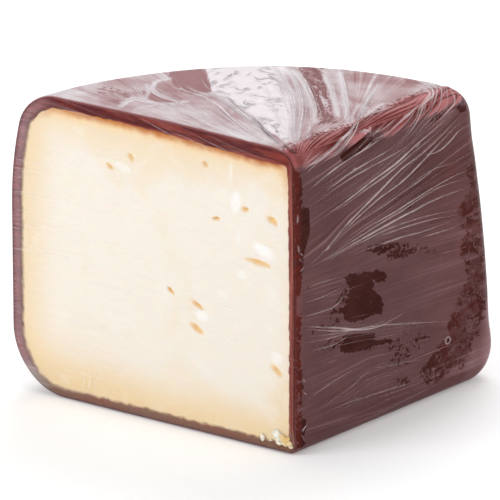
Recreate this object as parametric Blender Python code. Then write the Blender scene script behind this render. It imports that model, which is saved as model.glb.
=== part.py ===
"""A quarter of a wheel of smoked goat cheddar in its brown wax, wrapped tight in cling film.

The piece stands on its base as it was cut. The wheel's axis is its upright apex edge. The pale cut
face looks along -Y and the waxed face along +X, and the wheel's own side closes the back. It is one
solid: the cut edge is crisp, the other edges are rounded, and the wax's lip round the cut face, the
small openings in the cheese and the film's folds are relief in its surface.

Points are worked out as (across, along, up) from the foot of the apex edge: across from the waxed
face, along from the cut face, and up from the base.
"""

import math

import bmesh
import bpy
import numpy as np
from mathutils import Matrix

# Driving dimensions of the piece, in metres.
HEIGHT = 0.100
CUT_RADIUS = 0.115  # from the apex to the side, along the foot of the cut face
WAXED_RADIUS = 0.1065  # the same along the waxed face, where the wheel is a little flatter
SIDE_SWELL = 0.0026  # how far the side swells beyond those two between them
LEAN_CUT = 0.0063  # how far the side leans in towards the top, beside the cut face
LEAN_WAXED = 0.0153  # and beside the waxed face
LEAN_START_CUT = 0.062  # height at which the lean starts, beside the cut face
LEAN_START_WAXED = 0.002

# Radii of the rounded edges, in metres.
TOP_ROUND_CUT = 0.0117  # the wheel's upper rim, beside the cut face
TOP_ROUND_WAXED = 0.0108
BASE_ROUND_CUT = 0.0211  # the wheel's lower rim
BASE_ROUND_WAXED = 0.0135
RIDGE_ROUND_APEX = 0.0065  # between the top and the waxed face, at the apex
RIDGE_ROUND_RIM = 0.0050  # and at the wheel's rim
FOOT_ROUND = 0.0037  # between the waxed face and the base
CORNER_ROUND = 0.0085  # upright corner between the waxed face and the side
CUT_EDGE_ROUND = 0.0007  # the cut edge all round the cut face
APEX_EDGE_ROUND = 0.0018  # the same edge where it runs down the apex

# Where the apex edge stands, so that the origin is under the middle of the piece.
APEX_X = 0.0571
APEX_Y = -0.0535

# The surface's unevenness: waves a few centimetres long, in metres and radians a metre.
WAVE_HEIGHT = 0.00035
WAVES = (
    (52.0, 31.0, 44.0, 0.4),
    (-33.0, 61.0, 27.0, 1.9),
    (71.0, -24.0, -58.0, 4.1),
)
FLAT_BASE = 0.008  # below this height the waves and the folds die away

# The cut face.
RIND_TOP = 0.0042  # width of the dark rind and wax along the top of the cut face
RIND_SIDE = 0.0034
RIND_APEX = 0.0029
RIND_BASE = 0.0032
LIP_HEIGHT = 0.0005  # how far the wax stands proud of the cut cheese
LIP_SLOPE = 0.0009
CORE = (0.056, 0.0, 0.050)  # a point in the middle of the cut face, as (across, along, up)

# Small openings between the curds: (across, up, length, width, tilt in degrees).
OPENING_DEPTH = 0.0014
OPENINGS = (
    (0.0669, 0.0853, 0.0034, 0.0017, -50),
    (0.0753, 0.0807, 0.0030, 0.0015, -25),
    (0.0373, 0.0886, 0.0027, 0.0014, -35),
    (0.0107, 0.0751, 0.0047, 0.0023, -20),
    (0.0160, 0.0604, 0.0100, 0.0018, -5),
    (0.0402, 0.0416, 0.0052, 0.0017, -22),
    (0.0406, 0.0339, 0.0056, 0.0020, -25),
    (0.0088, 0.0262, 0.0050, 0.0022, -35),
    (0.0329, 0.0717, 0.0030, 0.0015, 5),
    (0.0214, 0.0769, 0.0030, 0.0018, 0),
    (0.0510, 0.0444, 0.0030, 0.0014, -40),
)

# Mesh densities before and after it is thinned to faces that follow the relief.
MERIDIANS = 560
RINGS = 368
RIM_CROWDING = 2.0  # how much closer the rings lie at the cut edge than at the back
MERIDIAN_SAMPLES = 160
TRIANGLES = 11800
RAY_LENGTH = 0.2
RAY_STEPS = 26
GRADIENT_STEP = 0.0001
FOLD_SEED = 4
FOLD_JITTER = 0.22  # how far a fold strays at its guide points, as a share of the gap to the next
FOLD_SAMPLES = 9  # points on a fold's line between two of its guide points


def top(across, along):
    """A point on the top face."""
    return (across, along, HEIGHT)


def waxed(along, up):
    """A point on the waxed face."""
    return (0.0, along, up)


def side(turn, up):
    """A point by the wheel's own side, turn degrees round from the cut face."""
    angle = math.radians(turn)
    return (CUT_RADIUS * math.cos(angle), CUT_RADIUS * math.sin(angle), up)


# The film's main folds. Each family runs from its first fold to its last one, both given by guide
# points, with the count of folds spread between them, their height and their half width.
FOLD_FAMILIES = (
    # The gather on the top, drawn from the back rim to the apex.
    (
        (top(0.078, 0.052), top(0.062, 0.036), top(0.034, 0.019), top(0.006, 0.003)),
        (top(0.063, 0.068), top(0.046, 0.055), top(0.027, 0.036), top(0.004, 0.005)),
        6,
        0.0012,
        0.0013,
    ),
    (
        (top(0.058, 0.072), top(0.041, 0.059), top(0.026, 0.043), top(0.016, 0.031)),
        (top(0.043, 0.080), top(0.030, 0.067), top(0.018, 0.050), top(0.007, 0.035)),
        3,
        0.0009,
        0.0013,
    ),
    # Long folds along the top towards the apex, beside the cut face.
    (
        (top(0.088, 0.021), top(0.061, 0.011), top(0.040, 0.005), top(0.020, 0.001)),
        (top(0.081, 0.039), top(0.058, 0.026), top(0.031, 0.012), top(0.006, 0.002)),
        3,
        0.0008,
        0.0012,
    ),
    # Fans over the ridge between the top and the waxed face.
    (
        (top(0.024, 0.075), top(0.014, 0.052), top(0.005, 0.034), waxed(0.027, 0.096), waxed(0.012, 0.092)),
        (top(0.010, 0.062), top(0.008, 0.050), top(0.004, 0.040), waxed(0.036, 0.095), waxed(0.019, 0.089)),
        2,
        0.0009,
        0.0012,
    ),
    (
        (top(0.015, 0.086), top(0.006, 0.078), waxed(0.062, 0.095), waxed(0.046, 0.088), waxed(0.006, 0.082)),
        (top(0.010, 0.092), top(0.003, 0.083), waxed(0.078, 0.092), waxed(0.050, 0.083), waxed(0.002, 0.074)),
        3,
        0.0009,
        0.0012,
    ),
    # The fan across the waxed face, from the middle of the apex edge.
    (
        (waxed(0.088, 0.091), waxed(0.063, 0.084), waxed(0.038, 0.074), waxed(0.015, 0.065), waxed(0.000, 0.060)),
        (waxed(0.091, 0.067), waxed(0.069, 0.066), waxed(0.048, 0.065), waxed(0.020, 0.062), waxed(0.002, 0.059)),
        4,
        0.0009,
        0.0012,
    ),
    (
        (waxed(0.085, 0.059), waxed(0.060, 0.059), waxed(0.042, 0.060), waxed(0.020, 0.058)),
        (waxed(0.085, 0.050), waxed(0.060, 0.053), waxed(0.042, 0.054), waxed(0.022, 0.053)),
        2,
        0.0007,
        0.0012,
    ),
    (
        (waxed(0.001, 0.045), waxed(0.013, 0.042), waxed(0.030, 0.037), waxed(0.058, 0.034)),
        (waxed(0.003, 0.034), waxed(0.023, 0.032), waxed(0.050, 0.028), waxed(0.084, 0.022)),
        3,
        0.0008,
        0.0012,
    ),
    (
        (waxed(0.007, 0.016), waxed(0.030, 0.017), waxed(0.060, 0.016), waxed(0.078, 0.015)),
        (waxed(0.006, 0.008), waxed(0.030, 0.007), waxed(0.060, 0.006), waxed(0.084, 0.006)),
        3,
        0.0006,
        0.0011,
    ),
    # Folds pulled round the wheel's side, out of sight behind the piece.
    (
        (side(6, 0.070), side(24, 0.074), side(46, 0.080), side(66, 0.090)),
        (side(6, 0.018), side(26, 0.026), side(50, 0.034), side(80, 0.040)),
        7,
        0.0008,
        0.0012,
    ),
    (
        (side(85, 0.031), side(72, 0.024), side(56, 0.018), side(44, 0.016)),
        (side(85, 0.020), side(75, 0.013), side(66, 0.009), side(58, 0.008)),
        3,
        0.0007,
        0.0012,
    ),
)


def mix(first, second, share):
    """The value that lies the given share of the way from first to second."""
    return first + (second - first) * share


def smooth_step(start, end, value):
    """0 up to start, 1 from end on, and a smooth climb between them."""
    share = np.clip((value - start) / (end - start), 0.0, 1.0)
    return share * share * (3.0 - 2.0 * share)


def rounded(first, second, radius):
    """The lesser of two depths, with the corner where they meet rounded to the radius."""
    corner = np.hypot(np.maximum(radius - first, 0.0), np.maximum(radius - second, 0.0))
    return np.maximum(radius, np.minimum(first, second)) - corner


def unevenness(points):
    """The slow waves of a hand-made surface, flat at the base."""
    total = np.zeros(points.shape[:-1])
    for kx, ky, kz, phase in WAVES:
        total += np.sin(points @ np.array((kx, ky, kz)) + phase)
    return WAVE_HEIGHT * total / len(WAVES) * smooth_step(0.0, FLAT_BASE, points[..., 2])


def edge_relief(points):
    """How far the rounded cut edge draws back, just behind the cut face."""
    across, along, up = np.moveaxis(points, -1, 0)
    at_apex = smooth_step(0.012, 0.004, across) * smooth_step(0.0, 0.01, up)
    radius = mix(CUT_EDGE_ROUND, APEX_EDGE_ROUND, at_apex)
    gone = np.clip(radius - along, 0.0, radius)
    return radius - np.sqrt(radius**2 - gone**2)


def depth_inside(points):
    """How deep each point lies in the whole quarter, were it not cut at along = 0."""
    across, along, up = np.moveaxis(points, -1, 0)
    turn = np.clip(np.arctan2(along, across) / (math.pi / 2), 0.0, 1.0)
    lean_start = mix(LEAN_START_CUT, LEAN_START_WAXED, turn)
    leaning = np.clip((up - lean_start) / (HEIGHT - lean_start), 0.0, None) ** 2
    radius = mix(CUT_RADIUS, WAXED_RADIUS, turn) + SIDE_SWELL * np.sin(math.pi * turn)
    radius = radius - mix(LEAN_CUT, LEAN_WAXED, turn) * leaning
    depth = rounded(radius - np.hypot(across, along), HEIGHT - up, mix(TOP_ROUND_CUT, TOP_ROUND_WAXED, turn))
    depth = rounded(depth, up, mix(BASE_ROUND_CUT, BASE_ROUND_WAXED, turn))
    ridge = mix(RIDGE_ROUND_APEX, RIDGE_ROUND_RIM, np.clip(along / WAXED_RADIUS, 0.0, 1.0))
    edge = mix(CORNER_ROUND, ridge, smooth_step(0.8 * HEIGHT, HEIGHT, up))
    edge = mix(edge, FOOT_ROUND, smooth_step(0.2 * HEIGHT, 0.0, up))
    return rounded(depth, across, edge) + unevenness(points) - edge_relief(points)


def cast(origin, directions):
    """Where rays from inside the piece leave it, by halving the span again and again."""
    near = np.zeros(directions.shape[:-1])
    far = np.full(directions.shape[:-1], RAY_LENGTH)
    for _ in range(RAY_STEPS):
        middle = (near + far) / 2
        inside = depth_inside(origin + directions * middle[..., None]) > 0
        near = np.where(inside, middle, near)
        far = np.where(inside, far, middle)
    return origin + directions * near[..., None]


def outward(points):
    """The surface's outward direction at points on or near it."""
    steps = np.eye(3) * GRADIENT_STEP
    slope = np.stack([depth_inside(points - s) - depth_inside(points + s) for s in steps], axis=-1)
    return slope / np.linalg.norm(slope, axis=-1, keepdims=True)


def settled(points):
    """Points near the surface, moved onto it."""
    for _ in range(4):
        points = points + outward(points) * depth_inside(points)[..., None]
    return points


def arc_shares(line):
    """How far along its own length each point of a line lies, from 0 to 1."""
    steps = np.linalg.norm(np.diff(line, axis=0), axis=-1)
    length = np.concatenate([np.zeros((1,) + steps.shape[1:]), np.cumsum(steps, axis=0)])
    return length / length[-1]


def directions_of(turns, rises):
    """Unit directions from the core: turns round the cut face, and rises from it to the back."""
    turns, rises = np.broadcast_arrays(turns, rises)
    return np.stack([np.cos(turns) * np.cos(rises), np.sin(rises), np.sin(turns) * np.cos(rises)], axis=-1)


def meridian_table(core):
    """Points of the skin by [ring, meridian], evenly spaced round the cut edge and back from it."""
    fine = np.linspace(0.0, 2 * math.pi, 6 * MERIDIANS + 1)
    rim_shares = arc_shares(cast(core, directions_of(fine, np.zeros_like(fine))))
    turns = np.interp(np.arange(MERIDIANS) / MERIDIANS, rim_shares, fine)
    rises = np.linspace(0.0, math.pi / 2, MERIDIAN_SAMPLES)
    lines = cast(core, directions_of(turns[None, :], rises[:, None]))
    shares = arc_shares(lines)
    steps = np.linspace(0.0, 1.0, RINGS // 2 + 1)
    wanted = (steps + RIM_CROWDING * steps**2) / (1 + RIM_CROWDING)
    table = np.empty((len(steps), MERIDIANS, 3))
    for m in range(MERIDIANS):
        for axis in range(3):
            table[:, m, axis] = np.interp(wanted, shares[:, m], lines[:, m, axis])
    return table


def rim_distance(points, rim):
    """How far points of the cut face lie from its rim."""
    flat = points[:, None, (0, 2)] - rim[None, ::2, (0, 2)]
    return np.sqrt((flat**2).sum(axis=-1).min(axis=1))


def rind_width(points):
    """Width of the dark rind on the cut face, by which edge is nearest."""
    across, _, up = points.T
    gaps = np.stack([HEIGHT - up, CUT_RADIUS - across, across, up])
    weights = 1.0 / np.maximum(gaps, 0.002) ** 4
    widths = np.array((RIND_TOP, RIND_SIDE, RIND_APEX, RIND_BASE))
    return (weights * widths[:, None]).sum(axis=0) / weights.sum(axis=0)


def cut_relief(points, rim):
    """How far the cut face draws back: inside the wax's lip, and in the openings."""
    distance = rim_distance(points, rim)
    width = rind_width(points)
    back = LIP_HEIGHT * smooth_step(width - LIP_SLOPE, width, distance)
    for across, up, length, breadth, tilt in OPENINGS:
        angle = math.radians(tilt)
        aside, above = points[:, 0] - across, points[:, 2] - up
        lengthwise = -aside * math.cos(angle) + above * math.sin(angle)
        crosswise = aside * math.sin(angle) + above * math.cos(angle)
        reach = np.hypot(lengthwise / (length / 2), crosswise / (breadth / 2))
        back += OPENING_DEPTH * (1.0 - smooth_step(0.3, 1.1, reach))
    return back


def smooth_line(guides):
    """A smooth line through guide points, by Catmull-Rom spans."""
    ends = np.vstack([2 * guides[0] - guides[1], guides, 2 * guides[-1] - guides[-2]])
    share = np.linspace(0.0, 1.0, FOLD_SAMPLES, endpoint=False)[:, None]
    spans = []
    for a, b, c, d in zip(ends, ends[1:], ends[2:], ends[3:]):
        spans.append(
            b
            + 0.5 * share * (c - a)
            + share**2 * (a - 2.5 * b + 2 * c - 0.5 * d)
            + 0.5 * share**3 * (3 * (b - c) + d - a)
        )
    return np.vstack(spans + [guides[-1:]])


def fold_lines():
    """Every fold as (its line on the surface, its height, its half width)."""
    random = np.random.default_rng(FOLD_SEED)
    folds = []
    for first, last, count, height, half_width in FOLD_FAMILIES:
        first, last = np.array(first), np.array(last)
        gaps = np.linalg.norm(last - first, axis=1, keepdims=True) / (count - 1)
        for share in np.linspace(0.0, 1.0, count):
            guides = mix(first, last, share) + FOLD_JITTER * gaps * random.normal(size=first.shape)
            line = settled(smooth_line(guides))
            folds.append((line, height * random.uniform(0.6, 1.0), half_width))
    return folds


def distance_to_line(points, line):
    """Each point's distance from a line, and how far along the line it is nearest, from 0 to 1."""
    nearest = np.full(len(points), np.inf)
    place = np.zeros(len(points))
    for i, (start, end) in enumerate(zip(line, line[1:])):
        span = end - start
        share = np.clip((points - start) @ span / (span @ span), 0.0, 1.0)
        distance = np.linalg.norm(points - start - share[:, None] * span, axis=1)
        closer = distance < nearest
        nearest[closer] = distance[closer]
        place[closer] = (i + share[closer]) / (len(line) - 1)
    return nearest, place


def film_relief(points):
    """How far the film's folds stand out from the skin, dying away at the base and the cut edge."""
    relief = np.zeros(len(points))
    for line, height, half_width in fold_lines():
        margin = 4 * half_width
        near = ((points > line.min(axis=0) - margin) & (points < line.max(axis=0) + margin)).all(axis=1)
        distance, place = distance_to_line(points[near], line)
        taper = np.sin(math.pi * np.clip(place, 0.02, 0.98)) ** 0.5
        relief[near] = np.maximum(relief[near], height * taper * np.exp(-((distance / half_width) ** 2)))
    clear_of_edges = smooth_step(0.0, FLAT_BASE, points[:, 2]) * smooth_step(0.0, 0.003, points[:, 1])
    return relief * clear_of_edges


def shaped(directions):
    """The unit sphere's points moved onto the piece: its +Y half makes the skin, its -Y half the cut face."""
    core = np.array(CORE)
    table = meridian_table(core)
    rim = table[0]
    turn = np.arctan2(directions[:, 2], directions[:, 0]) / (2 * math.pi) % 1.0
    meridian = np.round(turn * MERIDIANS).astype(int) % MERIDIANS
    rise = np.arcsin(np.clip(directions[:, 1], -1.0, 1.0)) / (math.pi / 2)
    ring = np.round(np.abs(rise) * (len(table) - 1)).astype(int)
    points = table[ring, meridian]
    skin = rise > -1e-6
    points[skin] += outward(points[skin]) * film_relief(points[skin])[:, None]
    inward = 1.0 - ring[~skin] / (len(table) - 1)
    points[~skin] = core + (rim[meridian[~skin]] - core) * inward[:, None]
    points[~skin, 1] += cut_relief(points[~skin], rim)
    return points


def make_material(name, colour, roughness):
    """A plain Principled material."""
    material = bpy.data.materials.new(name)
    material.use_nodes = True
    shader = material.node_tree.nodes["Principled BSDF"]
    shader.inputs["Base Color"].default_value = (*colour, 1.0)
    shader.inputs["Roughness"].default_value = roughness
    shader.inputs["Metallic"].default_value = 0.0
    return material


def make_piece(collection):
    """The wrapped quarter, as a sphere primitive moved onto the form and thinned to its budget."""
    work = bmesh.new()
    bmesh.ops.create_uvsphere(
        work,
        u_segments=MERIDIANS,
        v_segments=RINGS,
        radius=1.0,
        matrix=Matrix.Rotation(math.pi / 2, 4, "X"),
    )
    directions = np.array([vertex.co for vertex in work.verts])
    for vertex, (across, along, up) in zip(work.verts, shaped(directions)):
        vertex.co = (APEX_X - across, APEX_Y + along, up)
    bmesh.ops.triangulate(work, faces=work.faces)
    bmesh.ops.recalc_face_normals(work, faces=work.faces)
    mesh = bpy.data.meshes.new("wrapped_cheese")
    count = len(work.faces)
    work.to_mesh(mesh)
    work.free()
    piece = bpy.data.objects.new("wrapped_cheese", mesh)
    collection.objects.link(piece)
    thin = piece.modifiers.new("Thin", "DECIMATE")
    thin.ratio = TRIANGLES / count
    return piece


def paint(piece):
    """Wax everywhere, and pale cheese on the cut face inside the rind."""
    piece.data.materials.append(make_material("brown_wax", (0.105, 0.030, 0.024), 0.35))
    piece.data.materials.append(make_material("cheese", (0.90, 0.80, 0.62), 0.55))
    for polygon in piece.data.polygons:
        across, up = APEX_X - polygon.center.x, polygon.center.z
        in_cut = polygon.center.y < APEX_Y + 4 * LIP_HEIGHT and polygon.normal.y < -0.3
        well_in = RIND_APEX < across < CUT_RADIUS - RIND_SIDE and RIND_BASE < up < HEIGHT - RIND_TOP
        polygon.material_index = 1 if in_cut and well_in else 0
    piece.data.shade_smooth()
    piece.data.set_sharp_from_angle(angle=math.radians(40))


def main():
    for obj in list(bpy.data.objects):
        bpy.data.objects.remove(obj)
    collection = bpy.data.collections.new("smoked_goat_cheddar")
    bpy.context.scene.collection.children.link(collection)
    paint(make_piece(collection))


main()
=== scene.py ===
"""Looks for a quarter wheel of smoked goat cheddar in brown wax, wrapped tight in cling film.

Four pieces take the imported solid's place: the cheese in its wax, the film with its folds, the fine pleats
that lie on the film, and the crumbs caught under it. Points are worked out in millimetres as (across, along,
up) from the foot of the apex edge: across from the waxed face, along from the cut face, and up from the base.
"""

import math

import bmesh
import bpy
import numpy as np
from mathutils import Matrix, Vector, noise


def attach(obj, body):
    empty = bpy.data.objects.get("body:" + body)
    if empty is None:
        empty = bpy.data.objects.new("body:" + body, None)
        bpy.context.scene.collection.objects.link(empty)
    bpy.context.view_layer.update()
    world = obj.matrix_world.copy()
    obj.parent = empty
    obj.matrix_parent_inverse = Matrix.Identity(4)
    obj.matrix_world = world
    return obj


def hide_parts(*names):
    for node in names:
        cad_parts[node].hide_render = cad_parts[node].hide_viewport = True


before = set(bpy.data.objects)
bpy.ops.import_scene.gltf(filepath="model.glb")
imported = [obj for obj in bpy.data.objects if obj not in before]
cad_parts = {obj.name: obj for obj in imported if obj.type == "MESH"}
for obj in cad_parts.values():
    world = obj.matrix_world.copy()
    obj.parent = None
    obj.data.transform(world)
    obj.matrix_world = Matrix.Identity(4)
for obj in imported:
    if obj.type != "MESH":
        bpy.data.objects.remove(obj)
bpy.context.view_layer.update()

MM = 0.001

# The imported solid's form, in millimetres.
HEIGHT = 100.0
CUT_RADIUS = 115.0
WAXED_RADIUS = 106.5
SIDE_SWELL = 2.6
LEAN_CUT = 6.3
LEAN_WAXED = 15.3
LEAN_START_CUT = 62.0
LEAN_START_WAXED = 2.0
TOP_ROUND_CUT = 11.7
TOP_ROUND_WAXED = 10.8
BASE_ROUND_CUT = 21.1
BASE_ROUND_WAXED = 13.5
RIDGE_ROUND_APEX = 6.5
RIDGE_ROUND_RIM = 5.0
FOOT_ROUND = 3.7
CORNER_ROUND = 8.5
CUT_EDGE_ROUND = 0.7
APEX_EDGE_ROUND = 1.8
APEX_X = 57.1
APEX_Y = -53.5
WAVE_HEIGHT = 0.35
WAVES = (
    (0.052, 0.031, 0.044, 0.4),
    (-0.033, 0.061, 0.027, 1.9),
    (0.071, -0.024, -0.058, 4.1),
)
FLAT_BASE = 8.0
# The dark rind's width along the top of the cut face, by across, and along its other edges.
RIND_TOP = (0, 5.4, 15, 5.3, 40, 4.5, 70, 3.6, 92, 3.4, 106, 4.4)
RIND_SIDE = 3.8
RIND_APEX = 2.9
RIND_BASE = 2.6
RIND_OTHERS = (RIND_SIDE, RIND_APEX, RIND_BASE)
OPENING_DEPTH = 1.4
# Openings between curds: across, up, length, breadth and tilt.
OPENINGS = (
    (66.9, 85.3, 3.4, 1.7, -50),
    (75.3, 80.7, 3.0, 1.5, -25),
    (37.3, 88.6, 2.7, 1.4, -35),
    (10.7, 75.1, 4.7, 2.3, -20),
    (16.0, 60.4, 10.0, 1.8, -5),
    (40.2, 41.6, 5.2, 1.7, -22),
    (40.6, 33.9, 5.6, 2.0, -25),
    (8.8, 26.2, 5.0, 2.2, -35),
    (32.9, 71.7, 3.0, 1.5, 5),
    (21.4, 76.9, 3.0, 1.8, 0),
    (51.0, 44.4, 3.0, 1.4, -40),
)
RAY_LENGTH = 200.0
RAY_STEPS = 24
GRADIENT_STEP = 0.1
FOLD_SEED = 4
FOLD_JITTER = 0.22
SPAN_SAMPLES = 9

# How the pieces lie on one another.
CHEESE_INSET = 0.35
PASTE_INSET = 0.35
FILM_SAG = 0.35
PLEAT_LIFT = 0.16
PLEAT_LIFT_TOP = 0.34
PLEAT_LIFT_CUT = 0.08
PASTE_GRAIN = 0.10
RIND_BEHIND = -6.0  # the rind's depth on every face but the cut one

# The point inside, level with the cut face, that the meshes are spread from.
CORE_ACROSS = 56.0
CORE_UP = 50.0

# Mesh densities.
FILM_MERIDIANS = 600
FILM_RINGS = 190
FILM_CUT_RINGS = 46
CHEESE_MERIDIANS = 480
CHEESE_RINGS = 84
CHEESE_CUT_RINGS = 112
RIM_CROWDING = 1.4
RIM_RING = 0.997  # the outermost ring of the cut face, as a share of the way to the rim
ROUND_PROBES = 6  # rays for each meridian that even out the meridians
RISE_PROBES = 150  # rays along a meridian that even out the rings


def pairs_of(values):
    """A flat run of numbers, two by two."""
    return list(zip(values[::2], values[1::2]))


def top(*values):
    """Points on the top face, from across and along of each."""
    return [(across, along, HEIGHT) for across, along in pairs_of(values)]


def waxed(*values):
    """Points on the waxed face, from along and up of each."""
    return [(0.0, along, up) for along, up in pairs_of(values)]


def cut(*values):
    """Points on the cut face, from across and up of each."""
    return [(across, 0.0, up) for across, up in pairs_of(values)]


def side(*values):
    """Points by the wheel's own side, from the degrees round from the cut face and up of each."""
    angles = [(math.radians(turn), up) for turn, up in pairs_of(values)]
    return [(CUT_RADIUS * math.cos(angle), CUT_RADIUS * math.sin(angle), up) for angle, up in angles]


# The film's main folds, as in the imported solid: first and last fold's guide points, count and height.
FOLD_FAMILIES = (
    (top(78, 52, 62, 36, 34, 19, 6, 3), top(63, 68, 46, 55, 27, 36, 4, 5), 6, 1.2),
    (top(58, 72, 41, 59, 26, 43, 16, 31), top(43, 80, 30, 67, 18, 50, 7, 35), 3, 0.9),
    (top(88, 21, 61, 11, 40, 5, 20, 1), top(81, 39, 58, 26, 31, 12, 6, 2), 3, 0.8),
    (top(24, 75, 14, 52, 5, 34) + waxed(27, 96, 12, 92),
     top(10, 62, 8, 50, 4, 40) + waxed(36, 95, 19, 89), 2, 0.9),
    (top(15, 86, 6, 78) + waxed(62, 95, 46, 88, 6, 82),
     top(10, 92, 3, 83) + waxed(78, 92, 50, 83, 2, 74), 3, 0.9),
    (waxed(88, 91, 63, 84, 38, 74, 15, 65, 0, 60), waxed(91, 67, 69, 66, 48, 65, 20, 62, 2, 59), 4, 0.9),
    (waxed(85, 59, 60, 59, 42, 60, 20, 58), waxed(85, 50, 60, 53, 42, 54, 22, 53), 2, 0.7),
    (waxed(1, 45, 13, 42, 30, 37, 58, 34), waxed(3, 34, 23, 32, 50, 28, 84, 22), 3, 0.8),
    (waxed(7, 16, 30, 17, 60, 16, 78, 15), waxed(6, 8, 30, 7, 60, 6, 84, 6), 3, 0.6),
    (side(6, 70, 24, 74, 46, 80, 66, 90), side(6, 18, 26, 26, 50, 34, 80, 40), 7, 0.8),
    (side(85, 31, 72, 24, 56, 18, 44, 16), side(85, 20, 75, 13, 66, 9, 58, 8), 3, 0.7),
)
FOLD_SHARE = (0.55, 0.45)  # of the solid's fold height on the top, and on the other faces
FOLD_HALF_WIDTH = 0.85
BAND_STEP = 1.5
# The bunch of crumpled film on the top: each set of facets' tilt, length and height, and where crumples and
# white are gone and whole, as shares of the way out to the rim.
CRUMPLE_WAVES = ((132, 5.5, 0.30), (118, 8.5, 0.32), (20, 9.0, 0.20), (75, 6.5, 0.20), (165, 12.0, 0.25))
CRUMPLE_FADE = (0.85, 0.76)
WHITE_FADE = (0.91, 0.83)

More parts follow.
